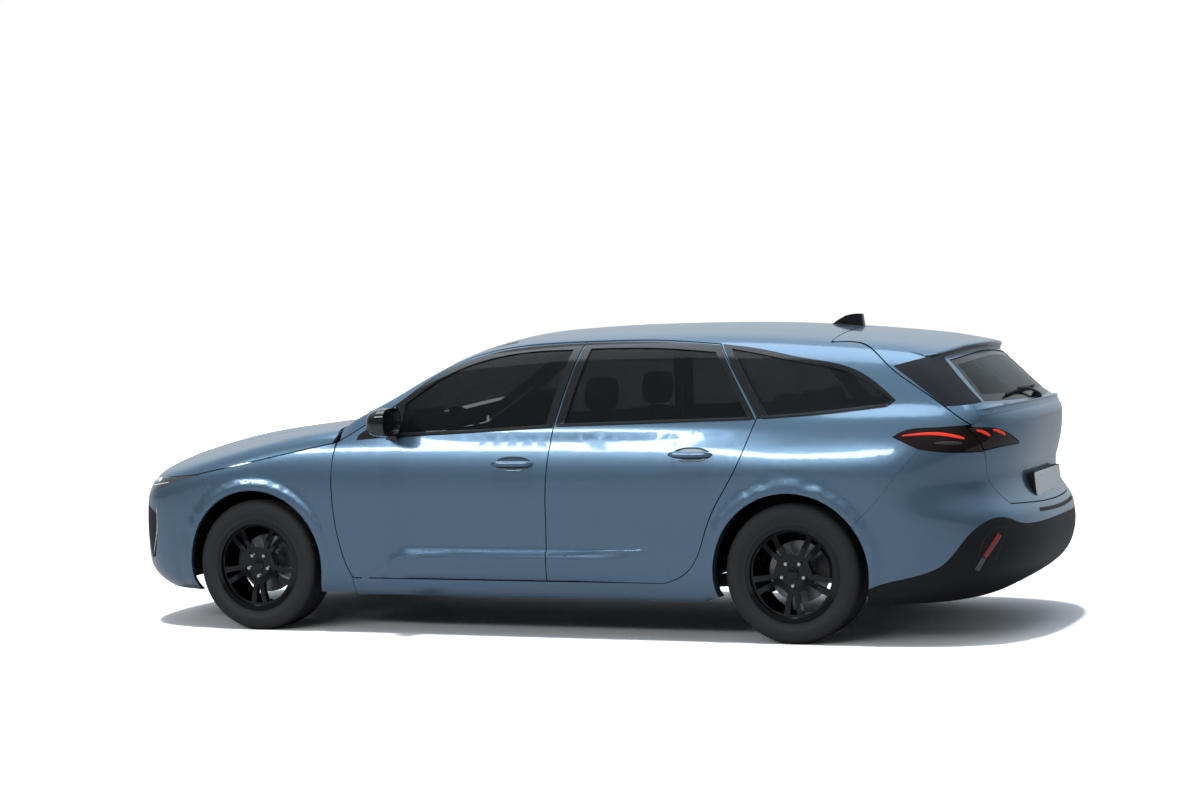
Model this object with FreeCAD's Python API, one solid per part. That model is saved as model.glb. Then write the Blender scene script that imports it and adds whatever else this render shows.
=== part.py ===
"""Five-door station wagon, built panel by panel as the real one is.

Frame: +X points to the nose, +Y to the car's left, +Z up. The origin is on the road, under the middle
of the overall length and width. Lengths are in millimetres.

The outside is one smooth body form, given as a function that is negative inside the car. Each panel is
a wall of its own thickness under that form, cut along the real shut lines.
"""

import FreeCAD
import Part
import math
import os
from FreeCAD import Vector

# Overall sizes
WHEELBASE = 2732.0
FRONT_OVERHANG = 868.0
REAR_OVERHANG = 1036.0
BODY_WIDTH = 1852.0
ROOF_HEIGHT = 1436.0
SILL_BOTTOM = 182.0

# Wheels and tyres. Places across the wheel are measured outwards from its middle plane.
TYRE_RADIUS = 317.0
TYRE_WIDTH = 222.0
TYRE_TREAD_WIDTH = 176.0
BEAD_RADIUS = 206.0
BEAD_WIDTH = 194.0
RIM_FLANGE_RADIUS = 223.0
RIM_INSIDE_RADIUS = 196.0
WHEEL_INSET = 146.0
HUB_RADIUS = 72.0
HUB_BACK = 18.0
HUB_FACE = 84.0
DISH_BACK = 58.0
SPOKE_PAIRS = 5
DISC_RADIUS = 141.0
DISC_BACK = -30.0
DISC_FRONT = -8.0
SPINDLE_RADIUS = 24.0
SPINDLE_END = 40.0
STEER_OFFSET = 70.0
UPRIGHT_HALF = 20.0
UPRIGHT_LOW = 216.0
UPRIGHT_HIGH = 444.0
PIVOT_PIN_RADIUS = 9.0
PIVOT_PIN_LENGTH = 22.0
STRUT_INSET = 175.0
STRUT_RADIUS = 25.0
ARCH_RADIUS = 366.0
WHEELHOUSE_RADIUS = 390.0
FRONT_WHEELHOUSE_WALL = 440.0
REAR_WHEELHOUSE_WALL = 560.0

# Walls and gaps. A pane lies its own inset under the skin, and a lens its own depth.
SKIN = 8.0
SHUT_GAP = 5.0
SEAM = 0.8
FIT = 0.3
RUNNING = 0.08
BODY_WALL = 50.0
DOOR_FRAME = 34.0
DOOR_BOX = 92.0
ROOF_WALL = 26.0
BONNET_WALL = 16.0
GATE_WALL = 44.0
BUMPER_WALL = 14.0
LENS_DEPTH = 30.0
GLASS = 5.0
GLASS_INSET = 4.0
SHEET = 6.0
COWL_DEPTH = 24.0
DEEP = 12.0
SECTION_POLE = 740.0
PRESSED = 8.0
DOOR_INNER_Y = 625.0
LAMP_INNER_Y = 455.0
ROOF_SIDE = 600.0
GATE_CORNER_Y = 585.0
GATE_CORNER_Z = 1260.0
MIRROR_Y = 973.0
MIRROR_Z = 1014.0
LINER_OUTER_Y = 846.0
TOWER_TOP = 772.0
FLOOR_HALF = 790.0
FLOOR_TOP = 210.0
SEAT_FLOOR = 300.0
LOAD_FLOOR = 548.0
BULKHEAD_TOP = 880.0
TUNNEL_HALF = 110.0
TUNNEL_TOP = 300.0
SILL_INNER_Y = 700.0
SILL_UNDER = 195.0
RAIL_INNER_Y = 330.0
RAIL_OUTER_Y = 400.0
RAIL_UNDER = 380.0
RAIL_TOP = 480.0
INNER_WING_Y = 425.0
BONNET_STOP_X = 1620.0
DASH_HALF = 745.0
CONSOLE_HALF = 105.0

# Running gear under the car, the engine, and the places of the people
SUBFRAME_HALF = 370.0
SUBFRAME_UNDER = 192.0
SUBFRAME_TOP = 240.0
SUBFRAME_POST_Y = 345.0
STRUT_ROD_RADIUS = 11.0
STRUT_WAIST = 690.0
BEAM_HALF = 620.0
BEAM_RADIUS = 38.0
TRAILING_INNER_Y = 586.0
TRAILING_OUTER_Y = 640.0
DAMPER_Y = 613.0
ENGINE_FRONT = 1740.0
ENGINE_REAR = 1250.0
ENGINE_HALF = 320.0
ENGINE_UNDER = 250.0
ENGINE_TOP = 800.0
SEAT_Y = 375.0
WHEEL_CENTRE = Vector(525, SEAT_Y, 880)
COLUMN = Vector(-0.92, 0, 0.39)
STEERING_RADIUS = 178.0

# Places that follow from the sizes above
LENGTH = FRONT_OVERHANG + WHEELBASE + REAR_OVERHANG
NOSE = LENGTH / 2
TAIL = -LENGTH / 2
FRONT_AXLE = NOSE - FRONT_OVERHANG
REAR_AXLE = TAIL + REAR_OVERHANG
HALF_WIDTH = BODY_WIDTH / 2
WHEEL_Y = HALF_WIDTH - WHEEL_INSET
STEER_Y = WHEEL_Y - STEER_OFFSET
STRUT_Y = WHEEL_Y - STRUT_INSET
ROOF_RISE = ROOF_HEIGHT - 1436.0
BULKHEAD_FRONT = FRONT_AXLE - 346
BULKHEAD_REAR = BULKHEAD_FRONT - PRESSED
BENCH_FRONT = REAR_AXLE + 852
LOAD_FRONT = REAR_AXLE + 152
LOAD_REAR = TAIL + 128
ROOF_REAR = REAR_AXLE - 123
GATE_CORNER_X = ROOF_REAR - 25
TAIL_POLE = (REAR_AXLE - 218, 0.0, 850.0)
TAIL_BUMPER_POLE = REAR_AXLE + 180
NOSE_POLE = FRONT_AXLE - 250
MIRROR_X = FRONT_AXLE - 760
BEAM_PLACE = (REAR_AXLE + 200, 236)
ARM_PIVOT = (REAR_AXLE + 440, 252)

os.makedirs("parts", exist_ok=True)


class Curve:
    """Natural cubic spline through key points, carried on straight beyond its ends."""

    def __init__(self, *keys):
        keys = sorted(keys)
        self.at = [float(k[0]) for k in keys]
        self.value = [float(k[1]) for k in keys]
        n = len(keys)
        step = [self.at[i + 1] - self.at[i] for i in range(n - 1)]
        rise = [(self.value[i + 1] - self.value[i]) / step[i] for i in range(n - 1)]
        diagonal = [1.0] * n
        right = [0.0] * n
        self.bend = [0.0] * n
        for i in range(1, n - 1):
            lower = step[i - 1]
            diagonal[i] = 2 * (step[i - 1] + step[i])
            right[i] = 6 * (rise[i] - rise[i - 1])
            if i > 1:
                factor = lower / diagonal[i - 1]
                diagonal[i] -= factor * step[i - 1]
                right[i] -= factor * right[i - 1]
        for i in range(n - 2, 0, -1):
            after = step[i] * self.bend[i + 1] if i < n - 2 else 0.0
            self.bend[i] = (right[i] - after) / diagonal[i]
        self.step = step
        self.first_slope = rise[0] - step[0] * self.bend[1] / 6
        self.last_slope = rise[-1] + step[-1] * self.bend[-2] / 6

    def __call__(self, x):
        if x <= self.at[0]:
            return self.value[0] + (x - self.at[0]) * self.first_slope
        if x >= self.at[-1]:
            return self.value[-1] + (x - self.at[-1]) * self.last_slope
        i = 0
        while x > self.at[i + 1]:
            i += 1
        h = self.step[i]
        a = (self.at[i + 1] - x) / h
        b = 1 - a
        cubic = (a * a * a - a) * self.bend[i] + (b * b * b - b) * self.bend[i + 1]
        return a * self.value[i] + b * self.value[i + 1] + cubic * h * h / 6


def smooth(low, high, x):
    """0 below low, 1 above high, with a soft step between."""
    t = min(max((x - low) / (high - low), 0.0), 1.0)
    return t * t * (3 - 2 * t)


def bump(x, centre, width):
    """Soft hill of height 1."""
    t = (x - centre) / width
    return math.exp(-t * t)


def round_max(a, b, radius):
    """The larger of two values, with the corner between them rounded."""
    h = max(radius - abs(a - b), 0.0) / radius
    return max(a, b) + h * h * h * radius / 6


def round_min(a, b, radius):
    return -round_max(-a, -b, radius)


# The body form. Insets are measured in from half the body's width.
SIDE_INSET = Curve((140, 105), (182, 66), (225, 34), (275, 20), (340, 15), (430, 12), (520, 6), (620, 1),
                   (700, 0), (780, 3), (850, 12), (910, 27), (960, 46), (1010, 70), (1060, 98), (1130, 140))
CABIN_INSET = Curve((700, 330), (800, 190), (860, 112), (910, 66), (950, 50), (1000, 60), (1050, 82),
                    (1100, 106), (1150, 132), (1200, 160), (1250, 190), (1300, 222), (1350, 256), (1400, 292))
WAIST = Curve((FRONT_AXLE - 450, 12), (FRONT_AXLE - 900, 11), (FRONT_AXLE - 1400, 9), (REAR_AXLE + 500, 6),
              (REAR_AXLE, 0), (REAR_AXLE - 300, 4), (TAIL + 500, 12), (FRONT_AXLE, 14), (FRONT_AXLE + 300, 16))
NOSE_SET_BACK = Curve((140, 215), (190, 120), (240, 52), (300, 14), (380, 2), (460, 0), (560, 5), (640, 16),
                      (700, 36), (760, 66), (820, 100), (900, 150), (1000, 210))
TAIL_SET_BACK = Curve((140, 330), (200, 210), (250, 122), (310, 52), (380, 14), (450, 0), (520, 4), (580, 22),
                      (640, 66), (700, 92), (760, 92), (820, 76), (880, 62), (940, 54), (1000, 50),
                      (1040, 62), (1100, 130), (1200, 260))
DECK = Curve((NOSE, 640), (NOSE - 60, 722), (NOSE - 120, 768), (NOSE - 220, 826), (NOSE - 370, 878),
             (FRONT_AXLE + 290, 927), (FRONT_AXLE, 966), (FRONT_AXLE - 220, 989), (FRONT_AXLE - 400, 998),
             (FRONT_AXLE - 800, 996), (FRONT_AXLE - 1300, 1006), (REAR_AXLE + 600, 1024),
             (REAR_AXLE + 150, 1034), (REAR_AXLE - 350, 1056), (REAR_AXLE - 600, 1062), (TAIL + 150, 1050),
             (TAIL, 1024))
DECK_FALL = Curve((NOSE, 120), (NOSE - 100, 140), (NOSE - 300, 150), (FRONT_AXLE + 300, 132),
                  (FRONT_AXLE, 88), (FRONT_AXLE - 220, 60), (FRONT_AXLE - 400, 40), (FRONT_AXLE - 900, 10),
                  (REAR_AXLE + 600, 0), (REAR_AXLE - 200, 0), (TAIL + 300, 10), (TAIL, 20))
ROOF = Curve((FRONT_AXLE - 800, 1366), (FRONT_AXLE - 1200, 1404), (FRONT_AXLE - 1500, 1425),
             (REAR_AXLE + 700, 1436), (REAR_AXLE + 300, 1430), (REAR_AXLE - 100, 1405), (TAIL + 550, 1366),
             (TAIL + 350, 1334), (TAIL + 200, 1300))
CABIN_TAPER = Curve((FRONT_AXLE - 300, 46), (FRONT_AXLE - 500, 26), (FRONT_AXLE - 800, 8),
                    (FRONT_AXLE - 1200, 0), (REAR_AXLE + 600, 0), (REAR_AXLE + 100, 12),
                    (REAR_AXLE - 200, 34), (REAR_AXLE - 450, 62), (TAIL + 300, 108), (TAIL + 150, 150))
WINDSCREEN = Curve((700, FRONT_AXLE - 580), (800, FRONT_AXLE - 430), (900, FRONT_AXLE - 348),
                   (985, FRONT_AXLE - 350), (1100, FRONT_AXLE - 565),
                   (1200, FRONT_AXLE - 752), (1300, FRONT_AXLE - 955), (1360, FRONT_AXLE - 1095),
                   (1420, FRONT_AXLE - 1270))
REAR_SCREEN = Curve((700, TAIL + 420), (800, TAIL + 270), (900, TAIL + 150), (960, TAIL + 94),
                    (1030, TAIL + 84), (1100, TAIL + 152), (1200, TAIL + 262),
                    (1280, TAIL + 356), (1340, TAIL + 430))
CROWN = 62.0
CROWN_WIDTH = 650.0
NOSE_ROUNDING = 6.0
TAIL_ROUNDING = 5.0
SIDE_ROUNDING = 2.6
WINDSCREEN_BOW = 115.0
REAR_SCREEN_BOW = 130.0
FLARE = 9.0
DOOR_CREASE = 8.0


def pressed_line(x, z):
    """Forms pressed into the side: wheel arch flares, the lower door crease, and the rear haunch."""
    out = 0.0
    for axle in (FRONT_AXLE, REAR_AXLE):
        away = math.hypot(x - axle, z - TYRE_RADIUS)
        out += FLARE * (1 - smooth(ARCH_RADIUS + 26, ARCH_RADIUS + 66, away))
    crease = 404 + 14 * smooth(FRONT_AXLE - 700, REAR_AXLE + 700, x)
    along = smooth(REAR_AXLE + 640, REAR_AXLE + 980, x) * (1 - smooth(FRONT_AXLE - 900, FRONT_AXLE - 560, x))
    lift = 130 * smooth(FRONT_AXLE - 830, FRONT_AXLE - 560, x)
    out += DOOR_CREASE * along * (1 - smooth(crease - lift - 26, crease - lift, z)) * smooth(262, 330, z)
    out -= 5 * along * bump(z, 520, 85)
    out += 7 * bump(x, REAR_AXLE - 40, 420) * bump(z, 790, 90)
    return out


def lower_body(x, y, z, relief=1.0):
    """Below the waist: sides, nose and tail as one rounded plan form under the bonnet and deck."""
    inset = SIDE_INSET(z) + WAIST(x) - relief * pressed_line(x, z)
    half = max(HALF_WIDTH - inset, 100.0)
    across = (abs(y) / half) ** SIDE_ROUNDING
    front_start = FRONT_AXLE - 400
    rear_start = REAR_AXLE - 20
    if x > front_start:
        run = (x - front_start) / max(NOSE - NOSE_SET_BACK(z) - front_start, 300.0)
        across += run ** NOSE_ROUNDING
    elif x < rear_start:
        run = (rear_start - x) / max(rear_start - TAIL - TAIL_SET_BACK(z), 300.0)
        across += run ** TAIL_ROUNDING
    plan = half * (across ** 0.25 - 1) / 0.65
    top = DECK(x) - DECK_FALL(x) * (abs(y) / HALF_WIDTH) ** 2.4
    return round_max(plan, z - top, 110)


def cabin(x, y, z):
    """Above the waist: side glass, roof, windscreen and rear screen."""
    half = HALF_WIDTH - CABIN_INSET(z - ROOF_RISE * smooth(1000, 1350, z)) - CABIN_TAPER(x)
    side = 0.9 * (abs(y) - half)
    top = z - ROOF(x) - ROOF_RISE + CROWN * (abs(y) / CROWN_WIDTH) ** 2.2
    front = 0.45 * (x - WINDSCREEN(z) + WINDSCREEN_BOW * (abs(y) / 780) ** 2)
    back = 0.65 * (REAR_SCREEN(z) + REAR_SCREEN_BOW * (abs(y) / 700) ** 2.5 - x)
    form = round_max(side, top, 120)
    form = round_max(form, front, 60)
    return round_max(form, back, 70)


def body_form(x, y, z, relief=1.0):
    """Negative inside the car and positive outside it."""
    return round_min(lower_body(x, y, z, relief), cabin(x, y, z), 45)


def plain_form(x, y, z):
    """The body form without its pressed lines, which the deeper faces of a wall follow."""
    return body_form(x, y, z, 0.0)


def surface_point(origin, direction, form=body_form):
    """Where a ray from inside the car first meets the form: steps out, then closes in."""
    def at(t):
        return form(*[o + t * d for o, d in zip(origin, direction)])
    low, high, at_low = 0.0, 80.0, at(0.0)
    at_high = at(high)
    while at_high < 0:
        low, at_low = high, at_high
        high += 80.0
        at_high = at(high)
    side = 0
    for _ in range(60):
        t = (low * at_high - high * at_low) / (at_high - at_low)
        now = at(t)
        if abs(now) < 0.004:
            break
        if now > 0:
            high, at_high = t, now
            at_low = at_low / 2 if side == 1 else at_low
            side = 1
        else:
            low, at_low = t, now
            at_high = at_high / 2 if side == -1 else at_high
            side = -1
    return [o + t * d for o, d in zip(origin, direction)]


def outward(p, form=body_form):
    """Unit vector out of the form at a point on it."""
    e = 0.5
    x, y, z = p
    here = form(x, y, z)
    return Vector(form(x + e, y, z) - here, form(x, y + e, z) - here, form(x, y, z + e) - here).normalize()


def spread(low, high, count):
    return [low + (high - low) * i / (count - 1) for i in range(count)]


def wall(rays, outer, inner, form=body_form, deep_form=plain_form, along_rays=False):
    """Solid between two depths under the form, over a grid of rays: a skin of even thickness.

    Along the rays, its ends keep to the rays; else each point moves square to the form.
    """
    faces = []
    for depth in (outer, inner):
        at_depth = deep_form if depth > DEEP else form
        rows = []
        for row in rays:
            line = []
            for origin, direction in row:
                p = surface_point(origin, direction, at_depth)
                out = outward(p, at_depth)
                step = Vector(*direction) * (1 / out.dot(Vector(*direction))) if along_rays else out
                line.append(Vector(*p) - step * depth)
            rows.append(line)
        surface = Part.BSplineSurface()
        surface.interpolate(rows)
        faces.append(surface)
    ends = []
    u0, u1, v0, v1 = faces[0].bounds()
    for pick in (lambda f: f.uIso(u0), lambda f: f.uIso(u1), lambda f: f.vIso(v0), lambda f: f.vIso(v1)):
        ends.append(Part.makeRuledSurface(pick(faces[0]).toShape(), pick(faces[1]).toShape()))
    shell = Part.makeShell([f.toShape() for f in faces] + ends)
    shell.sewShape(0.05)
    solid = Part.Solid(shell)
    if solid.Volume < 0:
        solid.reverse()
    return solid


def section_wall(x_low, x_high, angle_low, angle_high, outer, inner, across, around):
    """Wall by rays in cross-sections, each at an angle from straight up about the section's pole."""
    rays = []
    for x in spread(x_low, x_high, across):
        angles = [math.radians(a) for a in spread(angle_low, angle_high, around)]
        rays.append([((x, 0.0, SECTION_POLE), (0.0, math.sin(a), math.cos(a))) for a in angles])
    return wall(rays, outer, inner)


def top_wall(x_low, x_high, half_width, outer, inner, across, along, fan=0.0, form=body_form,
             deep_form=plain_form):
    """Wall by rays aimed at points 900 above the road, upright or fanned out from the front axle."""
    rays = []
    for x in spread(x_low, x_high, across):
        row = []
        for y in spread(-half_width, half_width, along):
            origin = (FRONT_AXLE + (x - FRONT_AXLE) * (1 - fan), y * (1 - 0.8 * fan), 400.0)
            row.append((origin, tuple(Vector(x - origin[0], y - origin[1], 500.0).normalize())))
        rays.append(row)
    return wall(rays, outer, inner, form, deep_form)


def end_wall(pole, angle_low, angle_high, z_low, z_high, outer, inner, around, up):
    """Wall by level rays about an upright line at x = pole."""
    rays = []
    for angle in spread(angle_low, angle_high, around):
        a = math.radians(angle)
        rays.append([((pole, 0.0, z), (math.cos(a), math.sin(a), 0.0)) for z in spread(z_low, z_high, up)])
    return wall(rays, outer, inner)


def tail_wall(up_low, up_high, side_low, side_high, outer, inner, up_count, side_count):
    """Wall by rays from one pole, each turned back from straight up and then to the side."""
    rays = []
    for up in spread(up_low, up_high, up_count):
        a = math.radians(up)
        row = []
        for side in spread(side_low, side_high, side_count):
            b = math.radians(side)
            row.append((TAIL_POLE, (-math.sin(a) * math.cos(b), math.sin(b), math.cos(a) * math.cos(b))))
        rays.append(row)
    return wall(rays, outer, inner)


class Path:
    """Smooth line through key points of a flat view, from 0 at its start to 1 at its end."""

    def __init__(self, points):
        reach = [0.0]
        for a, b in zip(points, points[1:]):
            reach.append(reach[-1] + math.hypot(b[0] - a[0], b[1] - a[1]))
        self.first = Curve(*[(r / reach[-1], p[0]) for r, p in zip(reach, points)])
        self.second = Curve(*[(r / reach[-1], p[1]) for r, p in zip(reach, points)])

    def __call__(self, t):
        return self.first(t), self.second(t)


def side_ray(x, z):
    """Ray that meets the left side square on."""
    return (x, 150.0, z), (0.0, 1.0, 0.0)


def rear_ray(y, z):
    """Ray that meets the tail square on."""
    return (REAR_AXLE, y, z), (-1.0, 0.0, 0.0)


def plan_ray(x, y):
    """Upright ray from above the waist."""
    return (x, y, 930.0), (0.0, 0.0, 1.0)


def patch_wall(loop, ray, outer, inner, across, up, form=body_form, deep_form=plain_form):
    """Wall under the four-sided patch inside a loop of four lines of a view."""
    first, last = Path(loop[0]), Path(loop[2][::-1])
    left, right = Path(loop[3][::-1]), Path(loop[1])
    rays = []
    for s in spread(0.0, 1.0, across):
        row = []
        for t in spread(0.0, 1.0, up):
            place = []
            for k in (0, 1):
                ruled = (1 - t) * first(s)[k] + t * last(s)[k] + (1 - s) * left(t)[k] + s * right(t)[k]
                flat = (1 - t) * ((1 - s) * first(0)[k] + s * first(1)[k])
                flat += t * ((1 - s) * last(0)[k] + s * last(1)[k])
                place.append(ruled - flat)
            row.append(ray(*place))
        rays.append(row)
    return wall(rays, outer, inner, form, deep_form, True)


def turned(a, b):
    """Unit normal of a step, pointing to its left."""
    dx, dz = b[0] - a[0], b[1] - a[1]
    size = math.hypot(dx, dz)
    return -dz / size, dx / size


def grown(runs, amount):
    """Closed outline of runs of key points, each run ending where the next starts, moved out by amount.

    The amount is one value, or a list with one for each run.
    """
    amounts = amount if isinstance(amount, list) else [amount] * len(runs)
    area = 0.0
    flat = [p for run in runs for p in run[:-1]]
    for a, b in zip(flat, flat[1:] + flat[:1]):
        area += a[0] * b[1] - b[0] * a[1]
    sign = -1.0 if area > 0 else 1.0
    moved = []
    for i, run in enumerate(runs):
        before, after = runs[i - 1], runs[(i + 1) % len(runs)]
        new = []
        for k, p in enumerate(run):
            by1 = by2 = amounts[i]
            ahead, back = run[min(k + 1, len(run) - 1)], run[max(k - 1, 0)]
            if k == 0:
                back, by1 = before[-2], amounts[i - 1]
            elif k == len(run) - 1:
                ahead, by2 = after[1], amounts[(i + 1) % len(runs)]
            n1, n2 = turned(back, p), turned(p, ahead)
            shared = n1[0] * n2[0] + n1[1] * n2[1]
            if shared > 0.97:
                share1, share2 = by1 / 2, by2 / 2
            else:
                across = max(1 - shared * shared, 0.2)
                share1, share2 = (by1 - by2 * shared) / across, (by2 - by1 * shared) / across
            new.append((p[0] + sign * (n1[0] * share1 + n2[0] * share2),
                        p[1] + sign * (n1[1] * share1 + n2[1] * share2)))
        moved.append(new)
    return moved


def edge_through(points):
    if len(points) == 2:
        return Part.LineSegment(points[0], points[1]).toShape()
    curve = Part.BSplineCurve()
    curve.interpolate(points)
    return curve.toShape()


def refined(run):
    """More points on the same smooth line that a patch follows between the key points of a run."""
    if len(run) == 2:
        return run
    line = Path(run)
    return [line(t) for t in spread(0.0, 1.0, 4 * len(run) - 3)]


def prism(runs, axis, low, high):
    """Outline drawn square to an axis and carried along it from low to high."""
    place = {"y": lambda p, d: Vector(p[0], d, p[1]), "z": lambda p, d: Vector(p[0], p[1], d),
             "x": lambda p, d: Vector(d, p[0], p[1])}[axis]
    along = {"x": Vector(1, 0, 0), "y": Vector(0, 1, 0), "z": Vector(0, 0, 1)}[axis]
    wire = Part.Wire([edge_through([place(p, low) for p in refined(run)]) for run in runs])
    return Part.Face(wire).extrude(along * (high - low))


def side_prism(runs, grow=0.0, low=100.0, high=1400.0):
    return prism(grown(runs, grow), "y", low, high)


def box(x0, x1, y0, y1, z0, z1):
    return Part.makeBox(x1 - x0, y1 - y0, z1 - z0, Vector(x0, y0, z0))


def rod(start, end, radius):
    along = end - start
    return Part.makeCylinder(radius, along.Length, start, along)


def mirrored(shape):
    return shape.mirror(Vector(0, 0, 0), Vector(0, 1, 0))


def only_solid(shape):
    """The largest solid of a cut, so that no sliver is carried along."""
    return max(shape.Solids, key=lambda s: s.Volume)


def save(name, *shapes):
    """Write one node: its solids, which don't touch each other."""
    solids = [solid for shape in shapes for solid in shape.Solids]
    whole = solids[0] if len(solids) == 1 else Part.Compound(solids)
    whole.exportStep("parts/" + name + ".step")
    sound = all(solid.isValid() for solid in solids)
    print(name, len(solids), "solids, sound" if sound else "solids, NOT SOUND", round(whole.Volume / 1e6, 2))


def front(dx, z):
    return FRONT_AXLE + dx, z


def rear(dx, z):
    return REAR_AXLE + dx, z


# Shut lines of the left side, seen square on as length and height.
DOOR_TOP_FRONT = [front(-462, 915), front(-600, 995), front(-743, 1083), front(-988, 1259),
                  front(-1245, 1341), front(-1450, 1362), front(-1665, 1369)]
SPLIT = [front(-1665, 1369), front(-1630, 1200), front(-1592, 1000), front(-1558, 740), front(-1548, 500),
         front(-1543, 266)]
DOOR_FRONT = [front(-528, 266), front(-492, 340), front(-460, 450), front(-440, 600), front(-436, 736),
              front(-444, 840), front(-462, 915)]
REAR_SHUT = [rear(154, 1022), rear(197, 900), rear(246, 787), rear(297, 700), rear(357, 600),
             rear(407, 480), rear(452, 370), rear(520, 300), rear(608, 266)]
REAR_FRAME = [rear(389, 1347), rear(154, 1022)]
DOOR_TOP_REAR = [front(-1665, 1369), rear(882, 1371), rear(732, 1370), rear(582, 1362), rear(389, 1347)]
FRONT_DOOR = [DOOR_TOP_FRONT, SPLIT, [SPLIT[-1], DOOR_FRONT[0]], DOOR_FRONT]
REAR_DOOR = [DOOR_TOP_REAR, REAR_FRAME, REAR_SHUT, [REAR_SHUT[-1], SPLIT[-1]], SPLIT[::-1]]
# Deep part of each door, 25 inside the shut line
FRONT_DOOR_BOX = [[front(-1511, 291), front(-548, 291)],
                  [front(-548, 291), front(-517, 350), front(-485, 450), front(-466, 600), front(-462, 736),
                   front(-480, 905)],
                  [front(-480, 905), front(-1549, 948)],
                  [front(-1549, 948), front(-1524, 740), front(-1514, 500), front(-1511, 291)]]
REAR_DOOR_BOX = [[rear(590, 291), front(-1573, 291)],
                 [front(-1573, 291), front(-1577, 500), front(-1587, 740), front(-1612, 948)],
                 [front(-1612, 948), rear(215, 935)],
                 [rear(215, 935), rear(273, 792), rear(325, 708), rear(385, 605), rear(436, 490),
                  rear(470, 410), rear(520, 340), rear(590, 291)]]
FRONT_WINDOW = [[front(-800, 955), front(-1200, 972), front(-1547, 992)],
                [front(-1547, 992), front(-1580, 1170), front(-1615, 1334)],
                [front(-1615, 1334), front(-1450, 1330), front(-1250, 1308), front(-995, 1224),
                 front(-800, 1092)],
                [front(-800, 1092), front(-800, 955)]]
REAR_WINDOW = [[front(-1640, 996), rear(600, 1010), rear(200, 1020)], [rear(200, 1020), rear(402, 1312)],
               [rear(402, 1312), rear(582, 1328), rear(732, 1336), front(-1705, 1337)],
               [front(-1705, 1337), front(-1672, 1170), front(-1640, 996)]]
QUARTER_WINDOW = [[rear(114, 1028), rear(-150, 1044), rear(-418, 1072)],
                  [rear(-418, 1072), rear(-440, 1088)],
                  [rear(-440, 1088), rear(-264, 1202), rear(2, 1262), rear(180, 1298), rear(330, 1325)],
                  [rear(330, 1325), rear(114, 1028)]]
FENDER_TOP = [front(322, 757), front(-457, 914)]
BUMPER_JOINT = [front(304, 754), front(283, 733), front(248, 675), front(199, 617), front(130, 540)]
REAR_JOINT = [rear(-250, 500), rear(-378, 618), rear(-449, 699), rear(-516, 787), rear(-563, 840),
              rear(-591, 874)]
TAILGATE_CUT = [rear(-123, 1345), rear(-285, 1330), rear(-420, 1232), rear(-568, 1132), rear(-685, 1054),
                rear(-797, 974)]
LAMP_TOP = [rear(-475, 930), rear(-530, 958), rear(-620, 967), rear(-797, 974)]
LAMP_LOW = [rear(-475, 930), rear(-591, 874)]
LAMP_FOOT = [rear(-591, 874), rear(-681, 860), rear(-844, 851)]
HEADLAMP_LOW = [front(304, 754), front(460, 720), front(635, 668), front(900, 650)]
BONNET_SIDE = [front(-470, 917), front(322, 758)]
BONNET_EDGE = [front(322, 758), front(669, 728), front(900, 716)]
DARK_LINE = [rear(-200, 150), rear(-387, 269), rear(-695, 374), rear(-853, 546), rear(-918, 560),
             rear(-964, 528), rear(-1100, 540)]
# Lines seen from above as length and half width, and from behind as half width and height.
HEADER = [front(-1277, -560), front(-1210, -280), front(-1188, 0), front(-1210, 280), front(-1277, 560)]
PILLAR = [front(-1277, 560), front(-965, 655), front(-729, 745), front(-600, 800)]
GATE_SPLIT = [(560, 612), (640, 723), (690, 858), (757, 974)]
# Lamp lenses, the body's one seen from the side and the tailgate's one from behind
BODY_LAMP = [[rear(-478, 929), rear(-591, 875), rear(-681, 862), rear(-880, 852)],
             [rear(-880, 852), rear(-840, 973)],
             [rear(-840, 973), rear(-620, 966), rear(-530, 957), rear(-478, 932)],
             [rear(-478, 932), rear(-478, 929)]]
GATE_LAMP = [[(440, 874), (600, 869), (687, 862)], [(687, 862), (746, 961)],
             [(746, 961), (615, 946), (442, 878)], [(442, 878), (440, 874)]]
GATE_LAMP_POCKET = [[(438, 871), (600, 865), (720, 851)], [(720, 851), (785, 967)],
                    [(785, 967), (615, 950), (440, 882)], [(440, 882), (438, 871)]]
SCREEN = [[front(-600, -800), front(-410, -450), front(-352, 0), front(-410, 450), front(-600, 800)],
          PILLAR[::-1], HEADER[::-1], [(p[0], -p[1]) for p in PILLAR]]


def cylinder_y(x, z, radius, y0, y1):
    return Part.makeCylinder(radius, y1 - y0, Vector(x, y0, z), Vector(0, 1, 0))


# Left side of the body: sill, pillars, cant rail and rear quarter in one pressing.
side_skin = section_wall(TAIL + 190, FRONT_AXLE - 380, 36, 129, 0, BODY_WALL, 84, 50)
side_outline = [[front(-528, SILL_BOTTOM), rear(420, SILL_BOTTOM)], [rear(420, SILL_BOTTOM), rear(0, 317)],
                [rear(0, 317), REAR_JOINT[0]], REAR_JOINT, LAMP_LOW[::-1], LAMP_TOP, TAILGATE_CUT[::-1],
                [TAILGATE_CUT[0], rear(-123, 1430)], [rear(-123, 1430), front(-475, 1430)],
                [front(-475, 1430), front(-475, 921)], [front(-475, 921), front(-457, 917)],
                [front(-457, 917)] + DOOR_FRONT[::-1][1:], [DOOR_FRONT[0], front(-528, SILL_BOTTOM)]]
moving = SHUT_GAP / 2
still = SEAM / 2
body_side = side_skin.common(side_prism(side_outline, [-still] * 6 + [-moving] * 2 + [-still] * 5))
body_side = body_side.cut(side_prism(FRONT_DOOR, SHUT_GAP / 2, 300))
body_side = body_side.cut(side_prism(REAR_DOOR, SHUT_GAP / 2, 300))
body_side = body_side.cut(side_prism(QUARTER_WINDOW, 0, 300))
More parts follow.
